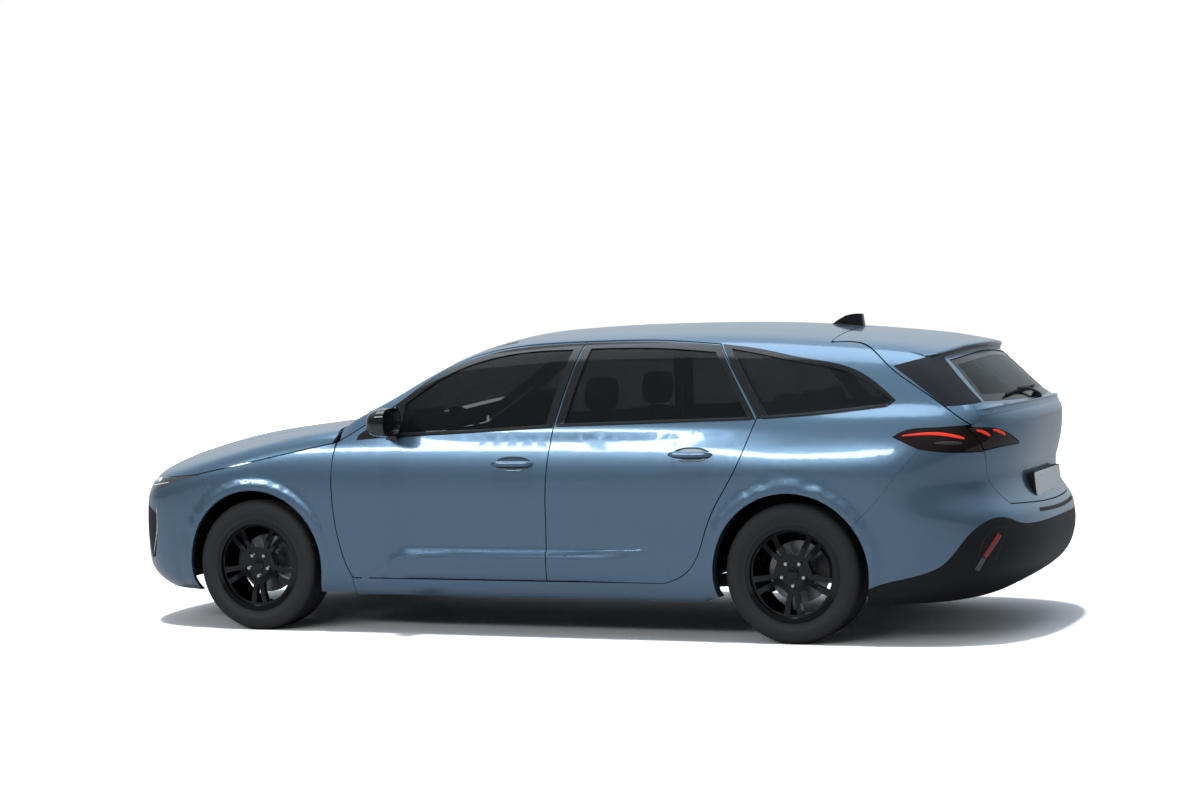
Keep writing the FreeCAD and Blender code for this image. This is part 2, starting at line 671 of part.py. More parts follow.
body_side = body_side.cut(cylinder_y(REAR_AXLE, TYRE_RADIUS, ARCH_RADIUS, 300, 1000))
inner_plan = [[(ROOF_REAR - 5, 0), front(-400, 0)], [front(-400, 0), front(-400, 835)],
              [front(-400, 835), front(-460, 835)], [front(-460, 835), PILLAR[-1]], PILLAR[::-1],
              [PILLAR[0], front(-1277, ROOF_SIDE)],
              [front(-1277, ROOF_SIDE), (ROOF_REAR - 5, ROOF_SIDE)],
              [(ROOF_REAR - 5, ROOF_SIDE), (ROOF_REAR - 5, 0)]]
body_side = only_solid(body_side.cut(prism(grown(inner_plan, SEAM / 2), "z", 900, 1500)))
post = section_wall(FRONT_AXLE - 1760, FRONT_AXLE - 1480, 45, 126, DOOR_FRAME + FIT, 74, 14, 40)
post_outline = [[front(-1523, 215), front(-1528, 500), front(-1538, 740), front(-1572, 1000),
                 front(-1610, 1200), front(-1650, 1382)],
                [front(-1650, 1382), front(-1690, 1382)],
                [front(-1690, 1382), front(-1650, 1200), front(-1612, 1000), front(-1578, 740),
                 front(-1568, 500), front(-1563, 215)], [front(-1563, 215), front(-1523, 215)]]
body_side = body_side.fuse(post.common(side_prism(post_outline)))
save("body_sides", body_side, mirrored(body_side))

# Doors: a flange at the shut line that goes on up as the window frame, and a deep box below the waist.
door_skin = section_wall(REAR_AXLE + 100, FRONT_AXLE - 400, 40, 119, 0, DOOR_FRAME, 60, 44)
for name, shape, deep, window in (("front", FRONT_DOOR, FRONT_DOOR_BOX, FRONT_WINDOW),
                                  ("rear", REAR_DOOR, REAR_DOOR_BOX, REAR_WINDOW)):
    panel = door_skin.common(side_prism(shape, -SHUT_GAP / 2, DOOR_INNER_Y)).cut(side_prism(window))
    panel = only_solid(panel.fuse(patch_wall(deep, side_ray, DOOR_FRAME - 12, DOOR_BOX, 26, 20)))
    pane = patch_wall(grown(window, -FIT), side_ray, GLASS_INSET, GLASS_INSET + GLASS, 24, 12)
    save("door_" + name + "_left", panel)
    save("door_" + name + "_right", mirrored(panel))
    save("window_" + name + "_left", pane)
    save("window_" + name + "_right", mirrored(pane))

# Roof, windscreen and quarter windows
roof_plan = [[(ROOF_REAR + SHUT_GAP / 2, -ROOF_SIDE), front(-1277, -ROOF_SIDE)],
             [front(-1277, -ROOF_SIDE), HEADER[0]], HEADER, [HEADER[-1], front(-1277, ROOF_SIDE)],
             [front(-1277, ROOF_SIDE), (ROOF_REAR + SHUT_GAP / 2, ROOF_SIDE)],
             [(ROOF_REAR + SHUT_GAP / 2, ROOF_SIDE), (ROOF_REAR + SHUT_GAP / 2, -ROOF_SIDE)]]
roof_skin = top_wall(ROOF_REAR - 20, FRONT_AXLE - 1150, 630, 0, ROOF_WALL, 36, 25)
save("roof", only_solid(roof_skin.common(prism(grown(roof_plan, -SEAM / 2), "z", 1200, 1500))))
screen = patch_wall(grown(SCREEN, -SEAM / 2), plan_ray, 1, 1 + GLASS, 26, 20, cabin, cabin)
quarter_glass = patch_wall(grown(QUARTER_WINDOW, -FIT), side_ray, GLASS_INSET, GLASS_INSET + GLASS, 20, 10)
save("fixed_glass", screen, quarter_glass, mirrored(quarter_glass))

# Front: fenders, bonnet, bumper, headlamps, grilles
fender = section_wall(FRONT_AXLE - 540, FRONT_AXLE + 340, 70, 128, 0, SKIN, 56, 44)
fender_outline = [FENDER_TOP, [FENDER_TOP[-1], DOOR_FRONT[-2]], DOOR_FRONT[:-1][::-1],
                  [DOOR_FRONT[0], front(-528, 190)], [front(-528, 190), front(-350, 190)],
                  [front(-350, 190), front(0, 317)], [front(0, 317), BUMPER_JOINT[-1]], BUMPER_JOINT[::-1],
                  [BUMPER_JOINT[0], FENDER_TOP[0]]]
fender = fender.common(side_prism(fender_outline, [-moving] * 7 + [-still, -still]))
fender = only_solid(fender.cut(cylinder_y(FRONT_AXLE, TYRE_RADIUS, ARCH_RADIUS, 300, 1000)))
save("front_fenders", fender, mirrored(fender))

bonnet = top_wall(FRONT_AXLE - 430, NOSE + 190, 1090, 0, BONNET_WALL, 48, 41, 0.5, lower_body, lower_body)
bonnet_side = [BONNET_SIDE, BONNET_EDGE, [BONNET_EDGE[-1], front(900, 1200)],
               [front(900, 1200), front(-470, 1200)], [front(-470, 1200), BONNET_SIDE[0]]]
bonnet = bonnet.common(prism(grown(bonnet_side, -moving), "y", -1100, 1100))
bonnet_plan = [[front(-470, -930), front(-450, -850), front(-360, -450), front(-325, 0), front(-360, 450),
                front(-450, 850), front(-470, 930)], [front(-470, 930), front(900, 930)],
               [front(900, 930), front(900, -930)], [front(900, -930), front(-470, -930)]]
bonnet = only_solid(bonnet.common(prism(bonnet_plan, "z", 600, 1200)))
save("bonnet", bonnet)

bumper = end_wall(NOSE_POLE, -72, 72, 150, 752, 0, BUMPER_WALL, 64, 40)
bumper_side = [BUMPER_JOINT, [BUMPER_JOINT[-1], front(100, 186)], [front(100, 186), front(900, 186)],
               [front(900, 186), HEADLAMP_LOW[-1]], HEADLAMP_LOW[::-1]]
nose_block = prism(grown(bumper_side, -still), "y", -1100, 1100)
nose_block = nose_block.fuse(box(NOSE_POLE, NOSE + 50, -LAMP_INNER_Y + SEAM, LAMP_INNER_Y - SEAM, 640, 712))
bumper = bumper.common(nose_block)
bumper = bumper.cut(cylinder_y(FRONT_AXLE, TYRE_RADIUS, ARCH_RADIUS, -1000, 1000))

GRILLE_TOP = [(-400, 688), (0, 696), (400, 688)]
GRILLE = [GRILLE_TOP, [(400, 688), (440, 640)], [(440, 640), (330, 400)], [(330, 400), (-330, 400)],
          [(-330, 400), (-440, 640)], [(-440, 640), (-400, 688)]]
INTAKE = [[(-520, 330), (520, 330)], [(520, 330), (600, 262)], [(600, 262), (560, 232)],
          [(560, 232), (-560, 232)], [(-560, 232), (-600, 262)], [(-600, 262), (-520, 330)]]
for opening in (GRILLE, INTAKE):
    bumper = bumper.cut(prism(opening, "x", 1500, 2500))
save("front_bumper", only_solid(bumper))

insert = end_wall(NOSE_POLE, -46, 46, 200, 740, BUMPER_WALL + FIT, BUMPER_WALL + 10, 40, 30)
upper = only_solid(insert.common(prism(grown(GRILLE, 8), "x", 1500, 2500)))
lower = only_solid(insert.common(prism(grown(INTAKE, 8), "x", 1500, 2500)))
save("grille", upper, lower)

lamp = end_wall(NOSE_POLE, 8, 66, 630, 757, 1, 44, 40, 14)
lamp_side = [HEADLAMP_LOW, [HEADLAMP_LOW[-1], BONNET_EDGE[-1]], BONNET_EDGE[::-1],
             [BONNET_EDGE[0], HEADLAMP_LOW[0]]]
lamp = lamp.common(side_prism(lamp_side, [-still, 0.0, -moving, -still], LAMP_INNER_Y))
lamp = only_solid(lamp)
save("headlamps", lamp, mirrored(lamp))

# Rear: tailgate, bumper, lamps
gate_side = [TAILGATE_CUT, [TAILGATE_CUT[-1], rear(-797, 560)], [rear(-797, 560), rear(-1100, 560)],
             [rear(-1100, 560), rear(-1100, 1500)], [rear(-1100, 1500), rear(-123, 1500)],
             [rear(-123, 1500), TAILGATE_CUT[0]]]
gate_back = [[(-p[0], p[1]) for p in GATE_SPLIT[::-1]], [(-560, 612), (0, 594), (560, 612)], GATE_SPLIT,
             [GATE_SPLIT[-1], (900, 1000)], [(900, 1000), (900, 1500)], [(900, 1500), (-900, 1500)],
             [(-900, 1500), (-900, 1000)], [(-900, 1000), (-757, 974)]]


def gate_block(grow):
    block = prism(grown(gate_side, grow), "y", -1100, 1100)
    return block.common(prism(grown(gate_back, grow), "x", -2600, -1000))


GATE_GLASS = [[(-610, 1070), (0, 1062), (610, 1070)], [(610, 1070), (520, 1255)],
              [(520, 1255), (0, 1282), (-520, 1255)], [(-520, 1255), (-610, 1070)]]
gate = tail_wall(-13, 113, -61, 61, 0, GATE_WALL, 84, 41).common(gate_block(-SHUT_GAP / 2))
gate = gate.cut(prism(GATE_GLASS, "x", -2600, -1600))
gate_pane = patch_wall(grown(GATE_GLASS, -FIT), rear_ray, GLASS_INSET, GLASS_INSET + GLASS, 26, 14)
gate_lens = patch_wall(GATE_LAMP, rear_ray, 1, LENS_DEPTH - FIT, 18, 10)
pocket = patch_wall(GATE_LAMP_POCKET, rear_ray, -20, LENS_DEPTH, 18, 10)
gate = gate.cut(pocket)
gate = gate.cut(mirrored(pocket))
# Its two front corners are cut square where the roof's sides pass them
corner = box(GATE_CORNER_X, GATE_CORNER_X + 120, GATE_CORNER_Y, GATE_CORNER_Y + 120,
             GATE_CORNER_Z, GATE_CORNER_Z + 120)
gate = gate.cut(corner).cut(mirrored(corner))
save("tailgate", only_solid(gate))
save("tailgate_glass", gate_pane)
save("tailgate_lamps", gate_lens, mirrored(gate_lens))

rear_skin = end_wall(TAIL_BUMPER_POLE, 108, 252, 150, 1010, 0, BUMPER_WALL, 64, 56)
whole_rear = [REAR_JOINT, LAMP_FOOT, [LAMP_FOOT[-1], rear(-1100, 851)], [rear(-1100, 851), rear(-1100, 186)],
              [rear(-1100, 186), rear(-330, 186)], [rear(-330, 186), REAR_JOINT[0]]]
rear_shell = rear_skin.common(prism(grown(whole_rear, -SEAM / 2), "y", -1100, 1100))
rear_shell = rear_shell.cut(gate_block(SHUT_GAP / 2))
rear_shell = rear_shell.cut(cylinder_y(REAR_AXLE, TYRE_RADIUS, ARCH_RADIUS, -1000, 1000))
dark = [DARK_LINE, [DARK_LINE[-1], rear(-1100, 100)], [rear(-1100, 100), DARK_LINE[0]]]
save("rear_bumper", only_solid(rear_shell.cut(prism(dark, "y", -1100, 1100))))
save("rear_valance", only_solid(rear_shell.common(prism(grown(dark, -SEAM), "y", -1100, 1100))))
lens = patch_wall(grown(BODY_LAMP, -FIT), side_ray, 1, LENS_DEPTH, 24, 10)
lens = lens.cut(side_prism(side_outline, FIT))
lens = only_solid(lens.cut(prism(grown(gate_back, moving), "x", TAIL - 100, REAR_AXLE - 500)))
save("tail_lamps", lens, mirrored(lens))


def ring(place, half_a, half_b, power=3.0, count=16):
    """Closed smooth outline, between an ellipse and a rectangle, put in space by place(a, b)."""
    points = []
    for k in range(count):
        t = 2 * math.pi * (k + 0.5) / count
        c, s = math.cos(t), math.sin(t)
        a = half_a * math.copysign(abs(c) ** (2 / power), c)
        b = half_b * math.copysign(abs(s) ** (2 / power), s)
        points.append(place(a, b))
    curve = Part.BSplineCurve()
    curve.interpolate(points, PeriodicFlag=True)
    return Part.Wire(curve.toShape())


def upright_ring(x, y, z, half_x, half_y, power=3.0):
    return ring(lambda a, b: Vector(x + a, y + b, z), half_x, half_y, power)


def cross_ring(x, y, z, half_y, half_z, power=3.0):
    return ring(lambda a, b: Vector(x, y + a, z + b), half_y, half_z, power)


def loft(rings):
    return Part.makeLoft(rings, True)


def turned_about_wheel(profile):
    """Solid turned about the wheel's axle line from points of radius and place across the wheel."""
    points = [Vector(0, across, radius) for radius, across in profile]
    return Part.Face(Part.makePolygon(points + points[:1])).revolve(Vector(0, 0, 0), Vector(0, 1, 0), 360)


# Cowl under the foot of the windscreen
cowl = top_wall(FRONT_AXLE - 640, FRONT_AXLE - 250, 838, COWL_DEPTH, COWL_DEPTH + SHEET, 16, 30)
cowl_plan = [SCREEN[0], [SCREEN[0][-1], front(-460, 835)], [front(-460, 835), front(-420, 835)],
             [front(-420, 835), front(-290, 470), front(-270, 0), front(-290, -470), front(-420, -835)],
             [front(-420, -835), front(-460, -835)], [front(-460, -835), SCREEN[0][0]]]
cowl = cowl.common(prism(grown(cowl_plan, [12] + [-FIT] * 5), "z", 800, 1200))
pillar_foot = [PILLAR[::-1], [PILLAR[0], front(-1277, 1000)], [front(-1277, 1000), front(-460, 1000)],
               [front(-460, 1000), front(-460, 835)], [front(-460, 835), PILLAR[-1]]]
beside = prism(grown(pillar_foot, FIT), "z", 800, 1200)
save("cowl", only_solid(cowl.cut(beside).cut(mirrored(beside))))

# Roof aerial: a swept fin
fin = [[front(-2665, 1408), front(-2700, 1432), front(-2745, 1456)],
       [front(-2745, 1456), front(-2790, 1464), front(-2826, 1463)], [front(-2826, 1463), front(-2838, 1380)],
       [front(-2838, 1380), front(-2665, 1380)], [front(-2665, 1380), front(-2665, 1408)]]
fin_plan = [[front(-2664, -6), front(-2664, 6)], [front(-2664, 6), front(-2740, 13), front(-2839, 17)],
            [front(-2839, 17), front(-2839, -17)], [front(-2839, -17), front(-2740, -13), front(-2664, -6)]]
roof_top = top_wall(ROOF_REAR - 20, FRONT_AXLE - 1150, 200, -90, -FIT, 20, 9)
fin_block = prism(fin, "y", -30, 30).common(prism(fin_plan, "z", 1300, 1500))
save("roof_aerial", only_solid(fin_block.common(roof_top)))

# Door mirrors: a housing open to the rear over a foot on the door
housing = loft([cross_ring(MIRROR_X - 42, MIRROR_Y, MIRROR_Z, 96, 66, 3.4),
                cross_ring(MIRROR_X, MIRROR_Y - 1, MIRROR_Z, 97, 66, 3.2),
                cross_ring(MIRROR_X + 45, MIRROR_Y - 7, MIRROR_Z - 3, 86, 56, 3.0),
                cross_ring(MIRROR_X + 72, MIRROR_Y - 15, MIRROR_Z - 8, 58, 36, 2.6),
                cross_ring(MIRROR_X + 80, MIRROR_Y - 18, MIRROR_Z - 10, 26, 16, 2.2)])
recess = loft([cross_ring(MIRROR_X - 50, MIRROR_Y, MIRROR_Z, 88, 58, 3.4),
               cross_ring(MIRROR_X - 26, MIRROR_Y, MIRROR_Z, 86, 56, 3.4)])
foot = loft([upright_ring(MIRROR_X - 6, MIRROR_Y - 85, MIRROR_Z - 86, 34, 34, 2.6),
             upright_ring(MIRROR_X - 2, MIRROR_Y - 61, MIRROR_Z - 54, 28, 30, 2.6),
             upright_ring(MIRROR_X + 2, MIRROR_Y - 43, MIRROR_Z - 30, 30, 34, 2.6)])
mirror = housing.fuse(foot).cut(recess)
mirror = only_solid(mirror.cut(section_wall(FRONT_AXLE - 900, FRONT_AXLE - 600, 60, 92, -FIT, 60, 16, 20)))
save("mirror_left", mirror)
save("mirror_right", mirrored(mirror))

# Wheels: tyre, rim with paired spokes, and brake disc
half_bead, half_tyre, half_tread = BEAD_WIDTH / 2, TYRE_WIDTH / 2, TYRE_TREAD_WIDTH / 2
tyre = turned_about_wheel([(BEAD_RADIUS + FIT, -half_bead), (RIM_FLANGE_RADIUS + 2, -half_bead - 6),
                           (278, -half_tyre), (TYRE_RADIUS, -half_tread), (TYRE_RADIUS, half_tread),
                           (278, half_tyre), (RIM_FLANGE_RADIUS + 2, half_bead + 6),
                           (BEAD_RADIUS + FIT, half_bead)])
barrel = turned_about_wheel([(RIM_INSIDE_RADIUS, -104), (RIM_FLANGE_RADIUS, -107),
                             (RIM_FLANGE_RADIUS, -103.5), (BEAD_RADIUS, -half_bead - FIT),
                             (BEAD_RADIUS, half_bead + FIT),
                             (RIM_FLANGE_RADIUS, 103.5), (RIM_FLANGE_RADIUS, 107), (200, 104),
                             (RIM_INSIDE_RADIUS, 90)])
dish = turned_about_wheel([(SPINDLE_RADIUS + RUNNING, HUB_BACK), (HUB_RADIUS, HUB_BACK),
                           (HUB_RADIUS, DISH_BACK), (125, DISH_BACK + 10), (200, DISH_BACK + 2), (200, 92),
                           (130, 98), (60, HUB_FACE), (0, HUB_FACE), (0, SPINDLE_END + 8),
                           (SPINDLE_RADIUS + RUNNING, SPINDLE_END + 8)])


def polar(radius, degrees):
    """Point of the wheel's face, by its angle from straight up."""
    a = math.radians(degrees)
    return radius * math.sin(a), radius * math.cos(a)


rim = barrel.fuse(dish)
for pair in range(SPOKE_PAIRS):
    middle = 360 * pair / SPOKE_PAIRS
    wide = [[polar(92, middle - 20), polar(86, middle), polar(92, middle + 20)],
            [polar(92, middle + 20), polar(186, middle + 22.5)],
            [polar(186, middle + 22.5), polar(190, middle), polar(186, middle - 22.5)],
            [polar(186, middle - 22.5), polar(92, middle - 20)]]
    slot = [[polar(98, middle + 33), polar(98, middle + 39)],
            [polar(98, middle + 39), polar(186, middle + 42)],
            [polar(186, middle + 42), polar(186, middle + 31)],
            [polar(186, middle + 31), polar(98, middle + 33)]]
    for window in (wide, slot):
        rim = rim.cut(prism(window, "y", 30, 140))
rim = only_solid(rim.removeSplitter())
disc = turned_about_wheel([(SPINDLE_RADIUS + RUNNING, DISC_BACK), (DISC_RADIUS, DISC_BACK),
                           (DISC_RADIUS, DISC_FRONT), (HUB_RADIUS + 4, DISC_FRONT),
                           (HUB_RADIUS + 4, HUB_BACK - FIT), (SPINDLE_RADIUS + RUNNING, HUB_BACK - FIT)])
for axle_name, axle_x in (("front", FRONT_AXLE), ("rear", REAR_AXLE)):
    for name, solid in (("tyre", tyre), ("rim", rim), ("brake_disc", disc)):
        placed = solid.copy()
        placed.translate(Vector(axle_x, WHEEL_Y, TYRE_RADIUS))
        save(name + "_" + axle_name + "_left", placed)
        save(name + "_" + axle_name + "_right", mirrored(placed))

# Front suspension: steered knuckles between a lower arm and a strut's bracket
knuckle = box(FRONT_AXLE - 24, FRONT_AXLE + 24, STEER_Y - UPRIGHT_HALF, STEER_Y + UPRIGHT_HALF,
              UPRIGHT_LOW, UPRIGHT_HIGH)
knuckle = knuckle.makeFillet(12, [e for e in knuckle.Edges if abs(e.tangentAt(0).z) > 0.9])
pivot = Vector(FRONT_AXLE, STEER_Y, UPRIGHT_LOW - PIVOT_PIN_LENGTH)
pivot_top = Vector(FRONT_AXLE, STEER_Y, UPRIGHT_HIGH + PIVOT_PIN_LENGTH)
knuckle = knuckle.fuse(rod(pivot, pivot_top, PIVOT_PIN_RADIUS))
knuckle = knuckle.fuse(rod(Vector(FRONT_AXLE, STEER_Y, TYRE_RADIUS),
                           Vector(FRONT_AXLE, WHEEL_Y + SPINDLE_END, TYRE_RADIUS), SPINDLE_RADIUS))
knuckle = only_solid(knuckle)
save("knuckle_left", knuckle)
save("knuckle_right", mirrored(knuckle))


def eye(z_low, z_high):
    """Round eye about the steering axis, with its bore."""
    foot_point = Vector(FRONT_AXLE, STEER_Y, z_low)
    outer = Part.makeCylinder(20, z_high - z_low, foot_point)
    return outer, Part.makeCylinder(PIVOT_PIN_RADIUS + RUNNING, z_high - z_low, foot_point)


low_eye, low_bore = eye(UPRIGHT_LOW - PIVOT_PIN_LENGTH - 4, UPRIGHT_LOW - FIT)
arm = [[(FRONT_AXLE + 16, STEER_Y), (FRONT_AXLE + 30, 560), (FRONT_AXLE + 40, 330)],
       [(FRONT_AXLE + 40, 330), (FRONT_AXLE - 260, 330)],
       [(FRONT_AXLE - 260, 330), (FRONT_AXLE - 120, 470), (FRONT_AXLE - 16, STEER_Y)],
       [(FRONT_AXLE - 16, STEER_Y), (FRONT_AXLE + 16, STEER_Y)]]
lower_arm = prism(arm, "z", UPRIGHT_LOW - PIVOT_PIN_LENGTH, UPRIGHT_LOW - 4)
lower_arm = lower_arm.fuse(low_eye).cut(low_bore)
subframe = box(FRONT_AXLE - 280, FRONT_AXLE + 60, -SUBFRAME_HALF, SUBFRAME_HALF, SUBFRAME_UNDER, SUBFRAME_TOP)
subframe = subframe.makeFillet(14, subframe.Edges)
post = rod(Vector(FRONT_AXLE - 235, SUBFRAME_POST_Y, SUBFRAME_TOP - 20),
           Vector(FRONT_AXLE - 235, SUBFRAME_POST_Y, RAIL_UNDER - FIT), 18)
subframe = subframe.fuse(lower_arm).fuse(mirrored(lower_arm))
subframe = only_solid(subframe.fuse(post).fuse(mirrored(post)))
high_eye, high_bore = eye(UPRIGHT_HIGH + FIT, UPRIGHT_HIGH + PIVOT_PIN_LENGTH + 4)
bracket = box(FRONT_AXLE - 16, FRONT_AXLE + 16, STRUT_Y, STEER_Y, UPRIGHT_HIGH + FIT,
              UPRIGHT_HIGH + PIVOT_PIN_LENGTH + 4)
waist = Vector(FRONT_AXLE, STRUT_Y, STRUT_WAIST)
strut = rod(Vector(FRONT_AXLE, STRUT_Y, UPRIGHT_HIGH - 6), waist, STRUT_RADIUS)
strut = strut.fuse(rod(waist, Vector(FRONT_AXLE, STRUT_Y, TOWER_TOP - FIT), STRUT_ROD_RADIUS))
strut = only_solid(strut.fuse(bracket).fuse(high_eye).cut(high_bore))
save("front_suspension", subframe, strut, mirrored(strut))

# Rear axle: a twist beam with trailing arms, spindles and dampers
beam = rod(Vector(BEAM_PLACE[0], -BEAM_HALF, BEAM_PLACE[1]), Vector(BEAM_PLACE[0], BEAM_HALF, BEAM_PLACE[1]),
           BEAM_RADIUS)
trailing = [[(REAR_AXLE - 44, TYRE_RADIUS), (REAR_AXLE - 10, 360), (REAR_AXLE + 42, 352)],
            [(REAR_AXLE + 42, 352), (REAR_AXLE + 240, 312), (ARM_PIVOT[0], ARM_PIVOT[1] + 28)],
            [(ARM_PIVOT[0], ARM_PIVOT[1] + 28), (ARM_PIVOT[0] + 28, ARM_PIVOT[1]),
             (ARM_PIVOT[0], ARM_PIVOT[1] - 28)],
            [(ARM_PIVOT[0], ARM_PIVOT[1] - 28), (REAR_AXLE + 240, 240), (REAR_AXLE + 42, 276)],
            [(REAR_AXLE + 42, 276), (REAR_AXLE - 10, 272), (REAR_AXLE - 44, TYRE_RADIUS)]]
trailing_arm = prism(trailing, "y", TRAILING_INNER_Y, TRAILING_OUTER_Y)
pivot_pin = rod(Vector(ARM_PIVOT[0], 600, ARM_PIVOT[1]),
                Vector(ARM_PIVOT[0], SILL_INNER_Y - FIT, ARM_PIVOT[1]), 12)
spindle = rod(Vector(REAR_AXLE, 600, TYRE_RADIUS), Vector(REAR_AXLE, WHEEL_Y + SPINDLE_END, TYRE_RADIUS),
              SPINDLE_RADIUS)
damper_foot = Vector(REAR_AXLE - 10, DAMPER_Y, 300)
damper_head = Vector(REAR_AXLE - 70, DAMPER_Y, 690)
damper_middle = damper_foot + (damper_head - damper_foot) * 0.55
damper = rod(damper_foot, damper_middle, 21).fuse(rod(damper_middle, damper_head, 9))
axle_half = trailing_arm.fuse(pivot_pin).fuse(spindle).fuse(damper)
save("rear_axle", only_solid(beam.fuse(axle_half).fuse(mirrored(axle_half))))


# Wheelhouse liners
def liner(axle_x, inner_y, low_z, hole=None):
    shell = cylinder_y(axle_x, TYRE_RADIUS, WHEELHOUSE_RADIUS + SHEET, inner_y, LINER_OUTER_Y)
    shell = shell.cut(cylinder_y(axle_x, TYRE_RADIUS, WHEELHOUSE_RADIUS, inner_y + SHEET, LINER_OUTER_Y + 1))
    shell = shell.cut(box(axle_x - 500, axle_x + 500, inner_y - 1, LINER_OUTER_Y + 1, -200, low_z))
    if hole:
        shell = shell.cut(rod(Vector(axle_x, hole, 600), Vector(axle_x, hole, 800), 36))
    return only_solid(shell)


front_liner = liner(FRONT_AXLE, FRONT_WHEELHOUSE_WALL, 285, STRUT_Y)
rear_liner = liner(REAR_AXLE, REAR_WHEELHOUSE_WALL, 372)
save("wheelhouse_liners", front_liner, mirrored(front_liner), rear_liner, mirrored(rear_liner))

# Floor, bulkhead, load floor, sill boxes, front rails and cross members in one welded pressing
floor_line = [(BENCH_FRONT, FLOOR_TOP - PRESSED), (BULKHEAD_FRONT, FLOOR_TOP - PRESSED),
              (BULKHEAD_FRONT, BULKHEAD_TOP), (BULKHEAD_REAR, BULKHEAD_TOP), (BULKHEAD_REAR, FLOOR_TOP),
              (BENCH_FRONT + PRESSED, FLOOR_TOP), (BENCH_FRONT + PRESSED, SEAT_FLOOR),
              (LOAD_FRONT, SEAT_FLOOR), (LOAD_FRONT, LOAD_FLOOR), (LOAD_REAR, LOAD_FLOOR),
              (LOAD_REAR, LOAD_FLOOR - PRESSED), (LOAD_FRONT - PRESSED, LOAD_FLOOR - PRESSED),
              (LOAD_FRONT - PRESSED, SEAT_FLOOR - PRESSED), (BENCH_FRONT, SEAT_FLOOR - PRESSED)]
floor_points = [Vector(x, -FLOOR_HALF, z) for x, z in floor_line]
floor = Part.Face(Part.makePolygon(floor_points + floor_points[:1])).extrude(Vector(0, 2 * FLOOR_HALF, 0))
load_corner = [[(-1700, 1000), (-1700, 800)], [(-1700, 800), (-1900, 796), (-2050, 756), (-2119, 712),
               (-2160, 660), (-2195, 570)], [(-2195, 570), (-2300, 1000)], [(-2300, 1000), (-1700, 1000)]]
for cut in (box(-1700, -880, REAR_WHEELHOUSE_WALL - FIT, 1000, 100, 600),
            box(BULKHEAD_REAR - 46, BULKHEAD_FRONT + 46, FRONT_WHEELHOUSE_WALL - FIT, 900, 215, 525),
            box(BULKHEAD_REAR - 46, BULKHEAD_FRONT + 46, 740, 900, 500, 900),
            prism(load_corner, "z", 100, 600)):
    floor = floor.cut(cut).cut(mirrored(cut))
tunnel = box(BENCH_FRONT, BULKHEAD_REAR + PRESSED / 2, -TUNNEL_HALF, TUNNEL_HALF,
             FLOOR_TOP - PRESSED, TUNNEL_TOP)
tunnel = tunnel.makeFillet(30, [e for e in tunnel.Edges if abs(e.tangentAt(0).x) > 0.9
                                and e.CenterOfMass.z > TUNNEL_TOP - 10])
tunnel_space = box(BENCH_FRONT - 50, BULKHEAD_REAR - 4, 10 - TUNNEL_HALF, TUNNEL_HALF - 10,
                   150, TUNNEL_TOP - 10)
tunnel_space = tunnel_space.makeFillet(20, [e for e in tunnel_space.Edges if abs(e.tangentAt(0).x) > 0.9
                                            and e.CenterOfMass.z > TUNNEL_TOP - 20])
floor = floor.fuse(tunnel).cut(tunnel_space)
sill = box(-875, 920, SILL_INNER_Y, 780, SILL_UNDER, 330)
sill = sill.makeFillet(8, [e for e in sill.Edges if abs(e.tangentAt(0).x) > 0.9])
sill_flange = box(-850, 920, 770, 860, 232, 258)
sill_flange = only_solid(sill_flange.cut(section_wall(-880, 950, 108, 136, -60, BODY_WALL + FIT, 24, 14)))
rail = box(BULKHEAD_REAR + 4, NOSE - 178, RAIL_INNER_Y, RAIL_OUTER_Y, RAIL_UNDER, RAIL_TOP)
wing_outer_y = INNER_WING_Y + PRESSED
rail_shelf = box(BULKHEAD_REAR + 4, 1660, RAIL_OUTER_Y - 5, wing_outer_y, RAIL_TOP - 10, RAIL_TOP)
inner_wing = box(BULKHEAD_REAR + 4, 1660, INNER_WING_Y, wing_outer_y, RAIL_TOP - 10, TOWER_TOP + PRESSED)
tower = box(FRONT_AXLE - 110, FRONT_AXLE + 110, INNER_WING_Y, 920, TOWER_TOP, TOWER_TOP + PRESSED)
beyond_fender = section_wall(FRONT_AXLE - 130, FRONT_AXLE + 130, 80, 95, -80, SKIN + FIT, 16, 10)
tower = only_solid(tower.cut(beyond_fender))
stop_y = INNER_WING_Y + PRESSED / 2
bonnet_stop = rod(Vector(BONNET_STOP_X, stop_y, 700), Vector(BONNET_STOP_X, stop_y, 1000), 9)
above_stop = top_wall(BONNET_STOP_X - 40, BONNET_STOP_X + 40, 480, -200, BONNET_WALL + FIT, 8, 25, 0.5,
                      lower_body, lower_body)
bonnet_stop = bonnet_stop.cut(above_stop)
bonnet_stop = min(bonnet_stop.Solids, key=lambda s: s.CenterOfMass.z)
for piece in (sill, sill_flange, rail, rail_shelf, inner_wing, tower, bonnet_stop):
    floor = floor.fuse(piece).fuse(mirrored(piece))
bumper_beam = box(NOSE - 198, NOSE - 162, -560, 560, RAIL_UNDER, RAIL_TOP)
rear_panel = box(LOAD_REAR - 10, LOAD_REAR + 20, -600, 600, 400, 560)
floor = floor.fuse(bumper_beam).fuse(rear_panel)
save("floor_pan", only_solid(floor.removeSplitter()))

# Powertrain as one plain block, hung between the front rails on two mounts
engine = box(ENGINE_REAR, ENGINE_FRONT, -ENGINE_HALF, ENGINE_HALF, ENGINE_UNDER, ENGINE_TOP)
engine = engine.makeFillet(30, engine.Edges)
mount_arm = box(1440, 1540, 4 - RAIL_OUTER_Y, RAIL_OUTER_Y - 4, RAIL_TOP + FIT, RAIL_TOP + 40)
save("powertrain", only_solid(engine.fuse(mount_arm)))

